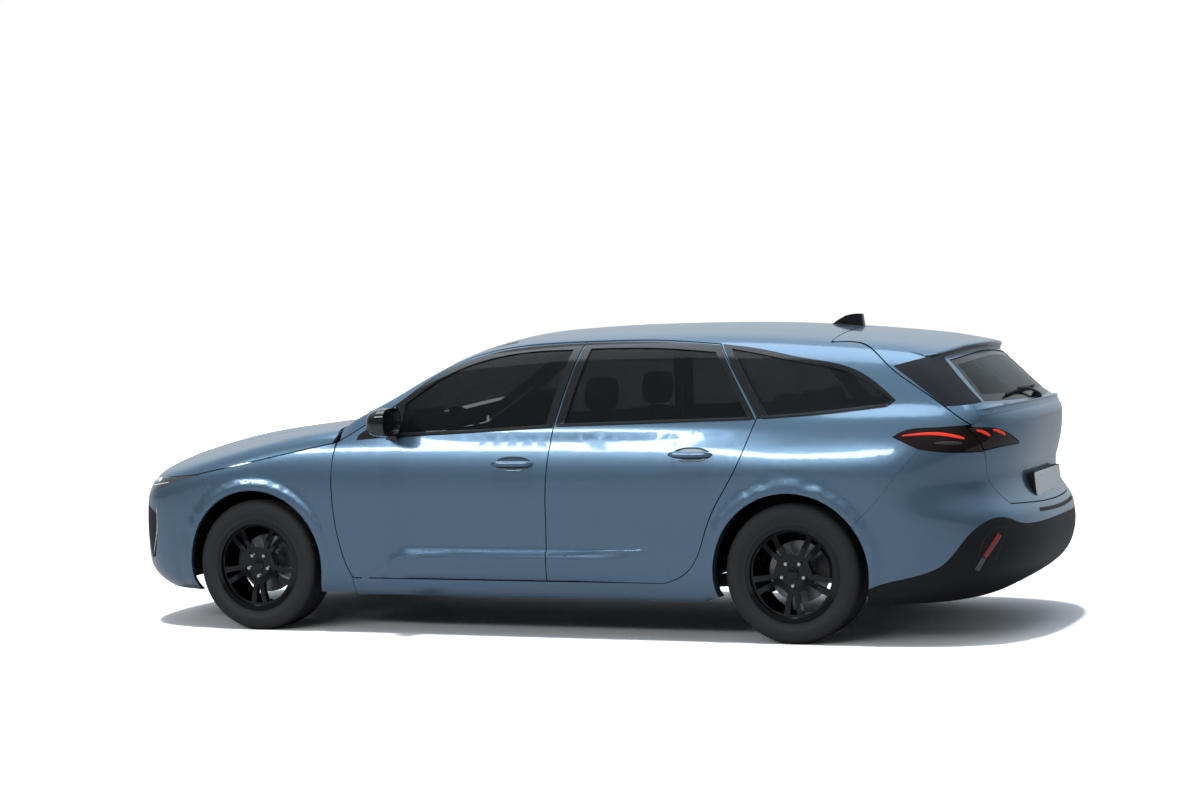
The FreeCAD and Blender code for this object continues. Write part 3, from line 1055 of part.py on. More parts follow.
# Dashboard from its side profile
dash_front = BULKHEAD_REAR - FIT
dash_side = [[(dash_front, 740), (dash_front, 872)], [(dash_front, 872), (960, 905), (800, 915), (712, 893)],
             [(712, 893), (672, 850), (664, 800)], [(664, 800), (700, 660), (760, 560)],
             [(760, 560), (900, 560)], [(900, 560), (dash_front, 740)]]
dashboard = prism(dash_side, "y", -DASH_HALF, DASH_HALF)
console = box(300, 800, -CONSOLE_HALF, CONSOLE_HALF, TUNNEL_TOP + FIT, 500)
console = console.makeFillet(25, [e for e in console.Edges if e.CenterOfMass.z > 490])
dashboard = only_solid(dashboard.fuse(console))
save("dashboard", dashboard)

# Steering wheel on its column
steer_rim = Part.makeTorus(STEERING_RADIUS, 15, WHEEL_CENTRE, COLUMN)
steer_hub = rod(WHEEL_CENTRE - COLUMN * 48, WHEEL_CENTRE - COLUMN * 4, 52)
steering_wheel = steer_rim.fuse(steer_hub)
across = COLUMN.cross(Vector(0, 1, 0))
spoke_end = STEERING_RADIUS - 8
down = across * (spoke_end if across.z < 0 else -spoke_end)
for end in (Vector(0, spoke_end, 0), Vector(0, -spoke_end, 0), down):
    steering_wheel = steering_wheel.fuse(rod(WHEEL_CENTRE - COLUMN * 16, WHEEL_CENTRE + end, 13))
column_end = WHEEL_CENTRE - COLUMN * 170
steering_wheel = steering_wheel.fuse(rod(column_end, WHEEL_CENTRE - COLUMN * 40, 28))
dash_space = dashboard.copy()
dash_space.translate(Vector(-FIT, 0, 0))
save("steering_wheel", only_solid(steering_wheel.cut(dash_space)))


# Seats: upholstered lofts
def leaning_ring(x, y, z, lean, half_x, half_y, power):
    """Ring square to a backrest that leans back by an angle."""
    a = math.radians(lean)
    along = Vector(math.cos(a), 0, math.sin(a))
    return ring(lambda u, v: Vector(x, y + v, z) + along * u, half_x, half_y, power)


def front_seat(y):
    cushion = loft([upright_ring(200, y, 302, 215, 215, 5), upright_ring(200, y, 360, 235, 245, 5),
                    upright_ring(205, y, 430, 240, 255, 4.5), upright_ring(205, y, 468, 205, 225, 4)])
    back = loft([leaning_ring(-10, y, 400, 14, 60, 225, 4), leaning_ring(-60, y, 620, 14, 72, 250, 4),
                 leaning_ring(-125, y, 860, 14, 62, 235, 3.6), leaning_ring(-165, y, 1010, 14, 38, 150, 3)])
    head = loft([leaning_ring(-172, y, 1040, 10, 40, 118, 3), leaning_ring(-180, y, 1110, 10, 55, 135, 3),
                 leaning_ring(-190, y, 1190, 10, 38, 105, 3)])
    posts = rod(Vector(-150, y - 60, 960), Vector(-178, y - 60, 1090), 7)
    posts = posts.fuse(rod(Vector(-150, y + 60, 960), Vector(-178, y + 60, 1090), 7))
    rails = box(0, 420, y - 190, y - 160, FLOOR_TOP + FIT, 312)
    rails = rails.fuse(box(0, 420, y + 160, y + 190, FLOOR_TOP + FIT, 312))
    return only_solid(cushion.fuse(back).fuse(head).fuse(posts).fuse(rails))


seat = front_seat(SEAT_Y)
save("front_seats", seat, mirrored(seat))
bench = loft([upright_ring(-670, 0, SEAT_FLOOR + FIT, 225, 545, 8), upright_ring(-665, 0, 380, 240, 552, 8),
              upright_ring(-665, 0, 440, 240, 552, 7), upright_ring(-668, 0, 478, 205, 530, 6)])
bench_back = loft([leaning_ring(-900, 0, 420, 22, 50, 540, 8), leaning_ring(-960, 0, 620, 22, 66, 550, 8),
                   leaning_ring(-1045, 0, 860, 22, 58, 550, 8), leaning_ring(-1085, 0, 965, 22, 38, 535, 6)])
rear_seat = bench.fuse(bench_back)
for y in (-370, 0, 370):
    rear_seat = rear_seat.fuse(loft([leaning_ring(-1088, y, 955, 14, 34, 110, 3),
                                     leaning_ring(-1105, y, 1040, 14, 44, 122, 3),
                                     leaning_ring(-1118, y, 1095, 14, 30, 95, 3)]))
save("rear_seat", only_solid(rear_seat))
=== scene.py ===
"""The station wagon dressed for its photograph: paint, glass and lamps on its panels, and the trim laid on them.

Shapes are worked out in millimetres in the frame of the source and put into meshes in metres.
"""

import math

import bmesh
import bpy
import numpy as np
from mathutils import Matrix, Vector


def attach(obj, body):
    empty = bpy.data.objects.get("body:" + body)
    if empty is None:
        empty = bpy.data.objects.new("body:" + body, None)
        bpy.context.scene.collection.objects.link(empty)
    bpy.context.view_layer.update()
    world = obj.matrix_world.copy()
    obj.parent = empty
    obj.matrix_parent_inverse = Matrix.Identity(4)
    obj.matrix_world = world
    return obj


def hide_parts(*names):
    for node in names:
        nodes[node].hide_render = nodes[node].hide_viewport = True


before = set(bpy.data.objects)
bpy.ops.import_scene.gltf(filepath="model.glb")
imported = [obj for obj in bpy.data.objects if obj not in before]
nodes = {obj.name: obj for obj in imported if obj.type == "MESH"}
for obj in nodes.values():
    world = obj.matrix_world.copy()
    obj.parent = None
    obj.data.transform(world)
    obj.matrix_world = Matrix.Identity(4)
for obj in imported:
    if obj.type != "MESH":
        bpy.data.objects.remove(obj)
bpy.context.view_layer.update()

# Main sizes, the same as those of the source
FRONT_AXLE, REAR_AXLE = 1450.0, -1282.0
NOSE, TAIL = 2318.0, -2318.0
HALF_WIDTH = 926.0
TYRE_RADIUS, ARCH_RADIUS = 317.0, 366.0
WHEEL_Y = 780.0
SEAT_Y = 0.378  # metres

# Camera, as fitted to the photograph: place in metres, angles in radians
CAMERA_PLACE = (-4.948, 12.023, 1.631)
CAMERA_TURN = 0.3893
CAMERA_RISE = 0.0436
CAMERA_ROLL = -0.0274
CAMERA_LENS = 78.74
SENSOR = 36.0


class Curve:
    """Natural cubic spline through key points (place, value), carried on straight beyond its ends.

    Between two places the value is a*p + b*q + ((a^3 - a)*P + (b^3 - b)*Q)*h^2/6, where a and b are the shares
    of the step h, p and q the end values and P and Q their second slopes, which one linear system gives.
    """

    def __init__(self, *keys):
        keys = sorted(keys)
        self.at = np.array([float(k[0]) for k in keys])
        self.value = np.array([np.asarray(k[1], float) for k in keys])
        n = len(keys)
        h = np.diff(self.at)
        flat = self.value.reshape(n, -1)
        rise = np.diff(flat, axis=0) / h[:, None]
        system, right = np.eye(n), np.zeros(flat.shape)
        i = np.arange(1, n - 1)
        system[i, i - 1], system[i, i], system[i, i + 1] = h[:-1], 2 * (h[:-1] + h[1:]), h[1:]
        right[1:-1] = 6 * np.diff(rise, axis=0)
        bend = np.linalg.solve(system, right)
        self.bend = bend.reshape(self.value.shape)
        self.first_slope = (rise[0] - h[0] * bend[1] / 6).reshape(self.value.shape[1:])
        self.last_slope = (rise[-1] + h[-1] * bend[-2] / 6).reshape(self.value.shape[1:])

    def __call__(self, x):
        x = np.asarray(x, float)
        i = np.clip(np.searchsorted(self.at, x) - 1, 0, len(self.at) - 2)
        wide = (...,) + (None,) * (self.value.ndim - 1)
        h = (self.at[i + 1] - self.at[i])[wide]
        a = (self.at[i + 1] - x)[wide] / h
        b = 1 - a
        cubic = (a ** 3 - a) * self.bend[i] + (b ** 3 - b) * self.bend[i + 1]
        inside = a * self.value[i] + b * self.value[i + 1] + cubic * h * h / 6
        low = self.value[0] + (x - self.at[0])[wide] * self.first_slope
        high = self.value[-1] + (x - self.at[-1])[wide] * self.last_slope
        return np.where((x < self.at[0])[wide], low, np.where((x > self.at[-1])[wide], high, inside))


def smooth(low, high, x):
    """0 below low, 1 above high, and t*t*(3 - 2t) between."""
    t = np.clip((x - low) / (high - low), 0, 1)
    return t * t * (3 - 2 * t)


def bump(x, centre, width):
    """Soft hill of height 1: e to the power -t*t."""
    return np.exp(-((x - centre) / width) ** 2)


def round_max(a, b, radius):
    """The larger of two values, with the corner between them rounded by h^3*radius/6."""
    h = np.maximum(radius - np.abs(a - b), 0) / radius
    return np.maximum(a, b) + h ** 3 * radius / 6


def round_min(a, b, radius):
    """The smaller of two values, rounded the same way."""
    return -round_max(-a, -b, radius)


def by(place, *steps):
    """Key points of a curve given by their steps from a place along the car."""
    return [(place + step, value) for step, value in steps]


# The body form. Insets are measured in from half the body's width.
SIDE_INSET = Curve((140, 105), (182, 66), (225, 34), (275, 20), (340, 15), (430, 12), (520, 6), (620, 1),
                   (700, 0), (780, 3), (850, 12), (910, 27), (960, 46), (1010, 70), (1060, 98), (1130, 140))
CABIN_INSET = Curve((700, 330), (800, 190), (860, 112), (910, 66), (950, 50), (1000, 60), (1050, 82),
                    (1100, 106), (1150, 132), (1200, 160), (1250, 190), (1300, 222), (1350, 256), (1400, 292))
WAIST = Curve(*by(FRONT_AXLE, (-450, 12), (-900, 11), (-1400, 9)), *by(REAR_AXLE, (500, 6), (0, 0), (-300, 4)),
              *by(TAIL, (500, 12)), *by(FRONT_AXLE, (0, 14), (300, 16)))
NOSE_SET_BACK = Curve((140, 215), (190, 120), (240, 52), (300, 14), (380, 2), (460, 0), (560, 5), (640, 16),
                      (700, 36), (760, 66), (820, 100), (900, 150), (1000, 210))
TAIL_SET_BACK = Curve((140, 330), (200, 210), (250, 122), (310, 52), (380, 14), (450, 0), (520, 4), (580, 22),
                      (640, 66), (700, 92), (760, 92), (820, 76), (880, 62), (940, 54), (1000, 50),
                      (1040, 62), (1100, 130), (1200, 260))
DECK = Curve(*by(NOSE, (0, 640), (-60, 722), (-120, 768), (-220, 826), (-370, 878)),
             *by(FRONT_AXLE, (290, 927), (0, 966), (-220, 989), (-400, 998), (-800, 996), (-1300, 1006)),
             *by(REAR_AXLE, (600, 1024), (150, 1034), (-350, 1056), (-600, 1062)),
             *by(TAIL, (150, 1050), (0, 1024)))
DECK_FALL = Curve(*by(NOSE, (0, 120), (-100, 140), (-300, 150)),
                  *by(FRONT_AXLE, (300, 132), (0, 88), (-220, 60), (-400, 40), (-900, 10)),
                  *by(REAR_AXLE, (600, 0), (-200, 0)), *by(TAIL, (300, 10), (0, 20)))
ROOF = Curve(*by(FRONT_AXLE, (-800, 1366), (-1200, 1404), (-1500, 1425)),
             *by(REAR_AXLE, (700, 1436), (300, 1430), (-100, 1405)),
             *by(TAIL, (550, 1366), (350, 1334), (200, 1300)))
CABIN_TAPER = Curve(*by(FRONT_AXLE, (-300, 46), (-500, 26), (-800, 8), (-1200, 0)),
                    *by(REAR_AXLE, (600, 0), (100, 12), (-200, 34), (-450, 62)),
                    *by(TAIL, (300, 108), (150, 150)))
WINDSCREEN = Curve(*[(height, FRONT_AXLE - back) for height, back in (
    (700, 580), (800, 430), (900, 348), (985, 350), (1100, 565), (1200, 752), (1300, 955), (1360, 1095),
    (1420, 1270))])
REAR_SCREEN = Curve(*[(height, TAIL + ahead) for height, ahead in (
    (700, 420), (800, 270), (900, 150), (960, 94), (1030, 84), (1100, 152), (1200, 262), (1280, 356),
    (1340, 430))])
CROWN = 62.0
CROWN_WIDTH = 650.0
NOSE_ROUNDING = 6.0
TAIL_ROUNDING = 5.0
SIDE_ROUNDING = 2.6
WINDSCREEN_BOW = 115.0
REAR_SCREEN_BOW = 130.0
FLARE = 9.0
DOOR_CREASE = 8.0


def pressed_line(x, z):
    """Forms pressed into the side: wheel arch flares, the lower door crease, and the rear haunch."""
    out = 0.0
    for axle in (FRONT_AXLE, REAR_AXLE):
        away = np.hypot(x - axle, z - TYRE_RADIUS)
        out += FLARE * (1 - smooth(ARCH_RADIUS + 26, ARCH_RADIUS + 66, away))
    crease = 404 + 14 * smooth(FRONT_AXLE - 700, REAR_AXLE + 700, x)
    along = smooth(REAR_AXLE + 640, REAR_AXLE + 980, x) * (1 - smooth(FRONT_AXLE - 900, FRONT_AXLE - 560, x))
    lift = 130 * smooth(FRONT_AXLE - 830, FRONT_AXLE - 560, x)
    out += DOOR_CREASE * along * (1 - smooth(crease - lift - 26, crease - lift, z)) * smooth(262, 330, z)
    out -= 5 * along * bump(z, 520, 85)
    out += 7 * bump(x, REAR_AXLE - 40, 420) * bump(z, 790, 90)
    return out


def lower_body(x, y, z):
    """Below the waist: sides, nose and tail as one rounded plan form under the bonnet and deck."""
    inset = SIDE_INSET(z) + WAIST(x) - pressed_line(x, z)
    half = np.maximum(HALF_WIDTH - inset, 100.0)
    across = (np.abs(y) / half) ** SIDE_ROUNDING
    front_start = FRONT_AXLE - 400
    rear_start = REAR_AXLE - 20
    ahead = (x - front_start) / np.maximum(NOSE - NOSE_SET_BACK(z) - front_start, 300.0)
    behind = (rear_start - x) / np.maximum(rear_start - TAIL - TAIL_SET_BACK(z), 300.0)
    across = across + np.maximum(ahead, 0) ** NOSE_ROUNDING + np.maximum(behind, 0) ** TAIL_ROUNDING
    plan = half * (across ** 0.25 - 1) / 0.65
    top = DECK(x) - DECK_FALL(x) * (np.abs(y) / HALF_WIDTH) ** 2.4
    return round_max(plan, z - top, 110)


def cabin(x, y, z):
    """Above the waist: side glass, roof, windscreen and rear screen."""
    half = HALF_WIDTH - CABIN_INSET(z) - CABIN_TAPER(x)
    side = 0.9 * (np.abs(y) - half)
    top = z - ROOF(x) + CROWN * (np.abs(y) / CROWN_WIDTH) ** 2.2
    front = 0.45 * (x - WINDSCREEN(z) + WINDSCREEN_BOW * (np.abs(y) / 780) ** 2)
    back = 0.65 * (REAR_SCREEN(z) + REAR_SCREEN_BOW * (np.abs(y) / 700) ** 2.5 - x)
    form = round_max(side, top, 120)
    form = round_max(form, front, 60)
    return round_max(form, back, 70)


def body_form(x, y, z):
    """Negative inside the car and positive outside it."""
    return round_min(lower_body(x, y, z), cabin(x, y, z), 45)


def meet(origin, way):
    """Where rays from inside the body cross its form.

    Steps of 60 mm find the first end outside, and 20 halvings close in on the crossing.
    """
    origin, way = np.broadcast_arrays(np.asarray(origin, float), np.asarray(way, float))
    steps = np.arange(0.0, 2700.0, 60.0)
    at = origin[..., None, :] + steps[:, None] * way[..., None, :]
    first = np.argmax(body_form(at[..., 0], at[..., 1], at[..., 2]) > 0, axis=-1)
    low, high = steps[first - 1], steps[first]
    for _ in range(20):
        middle = (low + high) / 2
        p = origin + middle[..., None] * way
        out = body_form(p[..., 0], p[..., 1], p[..., 2]) > 0
        low, high = np.where(out, low, middle), np.where(out, middle, high)
    return origin + low[..., None] * way


def facing(p):
    """Unit vector out of the form: its rise over half a millimetre along each axis, made one long."""
    x, y, z = p[..., 0], p[..., 1], p[..., 2]
    here = body_form(x, y, z)
    slope = np.stack([body_form(x + 0.5, y, z) - here, body_form(x, y + 0.5, z) - here,
                      body_form(x, y, z + 0.5) - here], -1)
    return slope / np.linalg.norm(slope, axis=-1, keepdims=True)


def cast(flat, axis, start, sign):
    """Points of the form met by rays along an axis from a start inside, over flat places in the other axes."""
    return meet(np.insert(np.asarray(flat, float), axis, start, axis=-1), sign * np.eye(3)[axis])


def on_side(flat):
    """Points of the left side under places of the side view (length, height)."""
    return cast(flat, 1, 150.0, 1)


def on_tail(flat):
    """Points of the tail under places of the view from behind (side, height)."""
    return cast(flat, 0, REAR_AXLE, -1)


def on_nose(flat):
    """Points of the nose under places of the view from the front (side, height)."""
    return cast(flat, 0, FRONT_AXLE - 100, 1)


def on_top(flat, inside=900.0):
    """Points of the upper side over places of the view from above (length, side), from a height inside."""
    return cast(flat, 2, inside, 1)


def line(points, count):
    """Smooth line through key points, evenly walked: a spline over the length of the polygon they make."""
    points = np.asarray(points, float)
    reach = np.concatenate([[0], np.cumsum(np.linalg.norm(np.diff(points, axis=0), axis=1))])
    t = np.linspace(0, reach[-1], count)
    if len(points) == 2:
        return points[0] + (points[1] - points[0]) * (t / reach[-1])[:, None]
    return Curve(*zip(reach, points))(t)


def outline(runs, count):
    """Closed line of smooth runs, its points shared out by length and the first repeated.

    Each run after the first starts at the corner where the one before it ends.
    """
    runs = [runs[0]] + [before[-1:] + run for before, run in zip(runs, runs[1:])]
    sizes = [sum(math.dist(a, b) for a, b in zip(r, r[1:])) for r in runs]
    parts = [line(r, max(3, round(count * s / sum(sizes)) + 1))[:-1] for r, s in zip(runs, sizes)]
    whole = np.concatenate(parts)
    return np.concatenate([whole, whole[:1]])


def weave(low, right, high, left, across, up):
    """Grid inside four lines: the two rulings between opposite lines, less the ruling between the corners."""
    low, high = line(low, across)[:, None], line(high, across)[:, None]
    left, right = line(left, up)[None], line(right, up)[None]
    s, t = np.linspace(0, 1, across)[:, None, None], np.linspace(0, 1, up)[None, :, None]
    corners = (1 - t) * ((1 - s) * low[:1] + s * low[-1:]) + t * ((1 - s) * high[:1] + s * high[-1:])
    return (1 - t) * low + t * high + (1 - s) * left + s * right - corners


def between(inner, outer, count):
    """Grid from one line to another with the same number of points, in count even steps."""
    t = np.linspace(0, 1, count)[None, :, None]
    return (1 - t) * inner[:, None] + t * outer[:, None]


def slab(points, high, low, crown=0.0, out=None):
    """Closed sheet over a grid of points: its face at height high, its back at low, and the rim between.

    With a crown, the face rises from low at the rim to high over that share of the grid each way. Heights are
    measured off the body, or along a direction given as out.
    """
    out = facing(points) if out is None else out
    lift = np.full(points.shape[:2], high)
    if crown:
        s = np.linspace(0, 1, points.shape[0])[:, None]
        t = np.linspace(0, 1, points.shape[1])[None]
        near = np.minimum(np.minimum(s, 1 - s), np.minimum(t, 1 - t)) / crown
        rise = np.sqrt(1 - (1 - np.clip(near, 0, 1)) ** 2)
        lift = low + (high - low) * (0.25 + 0.75 * rise)
    face = points + out * lift[..., None]
    back = points + out * low
    return [face, back, np.stack([face[0], back[0]]), np.stack([face[-1], back[-1]]),
            np.stack([face[:, 0], back[:, 0]]), np.stack([face[:, -1], back[:, -1]])]


def cap(ring):
    """Fan from a ring to its middle."""
    return np.stack([ring, np.broadcast_to(ring.mean(0), ring.shape)])


def carried(path, profile, stand=0.0):
    """Bar along a path on the body, at a height over it, its ends closed.

    Each profile point (across, outward) is laid off square to the path.
    """
    out = facing(path)
    path = path + out * stand
    along = np.gradient(path, axis=0)
    along /= np.linalg.norm(along, axis=1, keepdims=True)
    across = np.cross(out, along)
    across /= np.linalg.norm(across, axis=1, keepdims=True)
    up = np.cross(along, across)
    profile = np.asarray(profile, float)
    if profile.ndim == 2:
        profile = np.broadcast_to(profile, (len(path), *profile.shape))
    body = path[:, None] + across[:, None] * profile[..., :1] + up[:, None] * profile[..., 1:]
    return [body, cap(body[0]), cap(body[-1])]


def oval(half_across, half_out, count=24, power=2.0):
    """Closed profile: cosine and sine, each raised to 2/power with its sign kept; high powers give a box."""
    t = np.linspace(0, 2 * np.pi, count + 1)
    c, s = np.cos(t), np.sin(t)
    return np.stack([half_across * np.sign(c) * np.abs(c) ** (2 / power),
                     half_out * np.sign(s) * np.abs(s) ** (2 / power)], -1)


def turned(profile, centre, count, start=0.0, sweep=360.0):
    """Profile of (radius, outward along the axle) spun about the axle: x = r*sin, z = r*cos, y = along."""
    a = np.radians(start + np.linspace(0, sweep, count + 1))[:, None]
    profile = np.asarray(profile, float)
    r, y = profile[None, :, 0], profile[None, :, 1]
    return np.stack([centre[0] + r * np.sin(a), centre[1] + y + 0 * a, centre[2] + r * np.cos(a)], -1)


def mesh_of(name, grids, body, finish, side="left", sharp=32, node=None):
    """One object from grids of points in millimetres: a face in each cell, points in one place joined.

    The right-hand copy has its side coordinate turned over.
    """
    points, faces, start = [], [], 0
    for grid in grids:
        rows, columns = grid.shape[:2]
        i = start + np.arange(rows * columns).reshape(rows, columns)
        cells = np.stack([i[:-1, :-1], i[1:, :-1], i[1:, 1:], i[:-1, 1:]], -1).reshape(-1, 4)
        points.append(grid.reshape(-1, 3))
        faces.append(cells)
        start += rows * columns
    points = np.concatenate(points) / 1000
    if side == "right":
        points = points * (1, -1, 1)
    mesh = bpy.data.meshes.new(name)
    mesh.from_pydata(points.tolist(), [], np.concatenate(faces).tolist())
    work = bmesh.new()
    work.from_mesh(mesh)
    bmesh.ops.remove_doubles(work, verts=work.verts, dist=0.00002)
    bmesh.ops.dissolve_degenerate(work, edges=work.edges, dist=0.00001)
    bmesh.ops.recalc_face_normals(work, faces=work.faces)
    work.to_mesh(mesh)
    work.free()
    mesh.materials.append(finish)
    mesh.shade_smooth()
    mesh.set_sharp_from_angle(angle=math.radians(sharp))
    piece = bpy.data.objects.new(name, mesh)
    bpy.context.scene.collection.objects.link(piece)
    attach(piece, body)
    if node:
        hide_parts(node)
    return piece


def pair(name, grids, body, finish, **more):
    """The same piece on both sides of the car; a body's name may hold {side}."""
    for side in ("left", "right"):
        mesh_of(name + "_" + side, grids, body.format(side=side), finish, side, **more)


def node(tree, kind, sockets=(), **settings):
    """New node with its settings; each socket gets a value, or a link if that is another node's output."""
    made = tree.nodes.new(kind)
    for name, value in settings.items():
        setattr(made, name, value)
    for name, value in dict(sockets).items():
        if isinstance(value, bpy.types.NodeSocket):
            tree.links.new(value, made.inputs[name])
        else:
            made.inputs[name].default_value = value
    return made


def shared_effect(name, given, results):
    """New node group: its tree, the outputs of its start and the inputs of its end."""
    tree = bpy.data.node_groups.new(name, "ShaderNodeTree")
    for in_out, sockets in (("INPUT", given), ("OUTPUT", results)):
        for socket, kind in sockets.items():
            tree.interface.new_socket(socket, in_out=in_out, socket_type="NodeSocket" + kind)
    return tree, tree.nodes.new("NodeGroupInput").outputs, tree.nodes.new("NodeGroupOutput").inputs


def mottle_group():
    """Shared effect: soft noise at a place gives a colour between two, a value between two, and a normal."""
    tree, given, result = shared_effect(
        "mottle", {"Scale": "Float", "First": "Color", "Second": "Color", "Low": "Float", "High": "Float",
                   "Height": "Float"}, {"Colour": "Color", "Value": "Float", "Normal": "Vector"})
    place = node(tree, "ShaderNodeTexCoord").outputs["Object"]
    noise = node(tree, "ShaderNodeTexNoise", {"Vector": place, "Scale": given["Scale"], "Detail": 3})
    noise = noise.outputs["Fac"]
    mix = node(tree, "ShaderNodeMix", {"Factor": noise, 6: given["First"], 7: given["Second"]}, data_type="RGBA")
    span = node(tree, "ShaderNodeMapRange", {"Value": noise, "From Min": 0.3, "From Max": 0.7,
                                             "To Min": given["Low"], "To Max": given["High"]})
    rise = node(tree, "ShaderNodeBump", {"Distance": 0.0006, "Strength": given["Height"], "Height": noise})
    tree.links.new(mix.outputs[2], result["Colour"])
    tree.links.new(span.outputs["Result"], result["Value"])
    tree.links.new(rise.outputs["Normal"], result["Normal"])
    return tree


def weave_group():
    """Shared effect: threads that cross, the product of two sine bands, give a colour between two and a normal."""
    tree, given, result = shared_effect("threads", {"First": "Color", "Second": "Color"},
                                        {"Colour": "Color", "Normal": "Vector"})
    place = node(tree, "ShaderNodeTexCoord").outputs["Object"]
    bands = [node(tree, "ShaderNodeTexWave", {"Vector": place, "Scale": 110, "Distortion": 0.6}, wave_type="BANDS",
                  bands_direction=way).outputs["Fac"] for way in ("X", "DIAGONAL")]
    both = node(tree, "ShaderNodeMath", {0: bands[0], 1: bands[1]}, operation="MULTIPLY").outputs[0]
    mix = node(tree, "ShaderNodeMix", {"Factor": both, 6: given["First"], 7: given["Second"]}, data_type="RGBA")
    rise = node(tree, "ShaderNodeBump", {"Distance": 0.0008, "Strength": 0.7, "Height": both})
    tree.links.new(mix.outputs[2], result["Colour"])
    tree.links.new(rise.outputs["Normal"], result["Normal"])
    return tree


MOTTLE = mottle_group()
THREADS = weave_group()


def plain_material(name):
    """New material, its node tree and its shader's inputs."""
    mat = bpy.data.materials.new(name)
    mat.use_nodes = True
    return mat, mat.node_tree, mat.node_tree.nodes["Principled BSDF"].inputs


def finish(name, first, second, scale, rough, height=0.0, **sockets):
    """Finish whose colour, roughness and fine relief come from the shared noise; the rest is on its sockets."""
    mat, tree, shader = plain_material(name)
    soft = node(tree, "ShaderNodeGroup", {"Scale": scale, "First": (*first, 1), "Second": (*second, 1),
                                          "Low": rough[0], "High": rough[1], "Height": height}, node_tree=MOTTLE)
    tree.links.new(soft.outputs["Colour"], shader["Base Color"])
    tree.links.new(soft.outputs["Value"], shader["Roughness"])
    if height:
        tree.links.new(soft.outputs["Normal"], shader["Normal"])
    for socket, value in sockets.items():
        shader[socket.replace("_", " ")].default_value = value
    return mat


def cloth_finish(name, first, second):
    """Woven cloth with a faint sheen."""
    mat, tree, shader = plain_material(name)
    threads = node(tree, "ShaderNodeGroup", {"First": (*first, 1), "Second": (*second, 1)}, node_tree=THREADS)
    tree.links.new(threads.outputs["Colour"], shader["Base Color"])
    tree.links.new(threads.outputs["Normal"], shader["Normal"])
    shader["Roughness"].default_value = 0.9
    shader["Sheen Weight"].default_value = 0.25
    return mat


paint = finish("blue_paint", (0.100, 0.180, 0.270), (0.135, 0.230, 0.335), 1400, (0.24, 0.34), 0.05,
               Metallic=0.75, Coat_Weight=1.0, Coat_Roughness=0.06)
# Darker copy of the blue paint: painted shade for the recesses behind the door handles, which are not cut into the
# doors.
hollow_shade_paint = finish("hollow_shade_paint", (0.020, 0.038, 0.056), (0.034, 0.060, 0.085), 900, (0.35, 0.45), 0.05,
                      Metallic=0.5, Coat_Weight=0.6)
black_gloss = finish("black_gloss", (0.004, 0.004, 0.005), (0.008, 0.008, 0.009), 60, (0.10, 0.16))
black_plastic = finish("black_plastic", (0.007, 0.007, 0.008), (0.013, 0.013, 0.014), 900, (0.42, 0.58), 0.6,
                       Specular_IOR_Level=0.25)
flank_black = finish("flank_black", (0.010, 0.011, 0.014), (0.016, 0.017, 0.021), 500, (0.45, 0.60), 0.1,
                     Specular_IOR_Level=0.15)
mirror_black = finish("mirror_black", (0.006, 0.006, 0.007), (0.011, 0.011, 0.012), 80, (0.10, 0.16),
                      Coat_Weight=1.0)
side_glass = finish("side_glass", (0.004, 0.005, 0.006), (0.007, 0.009, 0.010), 12, (0.01, 0.03), Alpha=0.74,
                    Specular_IOR_Level=0.15)
screen_glass = finish("screen_glass", (0.005, 0.006, 0.007), (0.008, 0.010, 0.011), 12, (0.01, 0.03),
                      Alpha=0.76, Specular_IOR_Level=0.25)
tyre_rubber = finish("tyre_rubber", (0.010, 0.010, 0.011), (0.022, 0.022, 0.023), 140, (0.62, 0.80), 0.5)
dark_alloy = finish("dark_alloy", (0.005, 0.0055, 0.006), (0.010, 0.011, 0.012), 700, (0.22, 0.32), 0.03,
                    Metallic=0.85, Coat_Weight=0.7, Coat_Roughness=0.04)
brake_iron = finish("brake_iron", (0.16, 0.16, 0.165), (0.30, 0.30, 0.31), 260, (0.25, 0.42), 0.1, Metallic=1.0)
primer = finish("primer", (0.018, 0.018, 0.020), (0.032, 0.032, 0.034), 40, (0.5, 0.7), 0.2)
cast_metal = finish("cast_metal", (0.13, 0.13, 0.135), (0.22, 0.22, 0.225), 220, (0.45, 0.65), 0.8,
                    Metallic=0.8)
seat_cloth = cloth_finish("seat_cloth", (0.020, 0.020, 0.023), (0.055, 0.055, 0.060))
smoked_lens = finish("smoked_lens", (0.006, 0.002, 0.002), (0.012, 0.003, 0.003), 20, (0.05, 0.09))
red_streak = finish("red_streak", (0.62, 0.022, 0.008), (0.80, 0.045, 0.014), 35, (0.25, 0.35),
                    Emission_Color=(1.0, 0.05, 0.015, 1), Emission_Strength=0.30)
reflector_red = finish("reflector_red", (0.16, 0.004, 0.004), (0.24, 0.008, 0.006), 50, (0.06, 0.12),
                       Coat_Weight=1.0)
lamp_dark = finish("lamp_dark", (0.020, 0.018, 0.018), (0.060, 0.055, 0.055), 160, (0.30, 0.45))
clear_lens = finish("clear_lens", (0.030, 0.032, 0.035), (0.060, 0.064, 0.070), 30, (0.02, 0.05),
                    Coat_Weight=1.0)
lamp_white = finish("lamp_white", (0.80, 0.82, 0.85), (0.95, 0.96, 0.98), 40, (0.08, 0.16), Coat_Weight=1.0)
bright_metal = finish("bright_metal", (0.55, 0.56, 0.57), (0.72, 0.73, 0.74), 120, (0.10, 0.2), Metallic=1.0)
grille_metal = finish("grille_metal", (0.10, 0.105, 0.11), (0.17, 0.175, 0.18), 200, (0.18, 0.28),
                      Metallic=0.9)
plate_white = finish("plate_white", (0.68, 0.69, 0.69), (0.76, 0.77, 0.77), 300, (0.32, 0.42), 0.05)

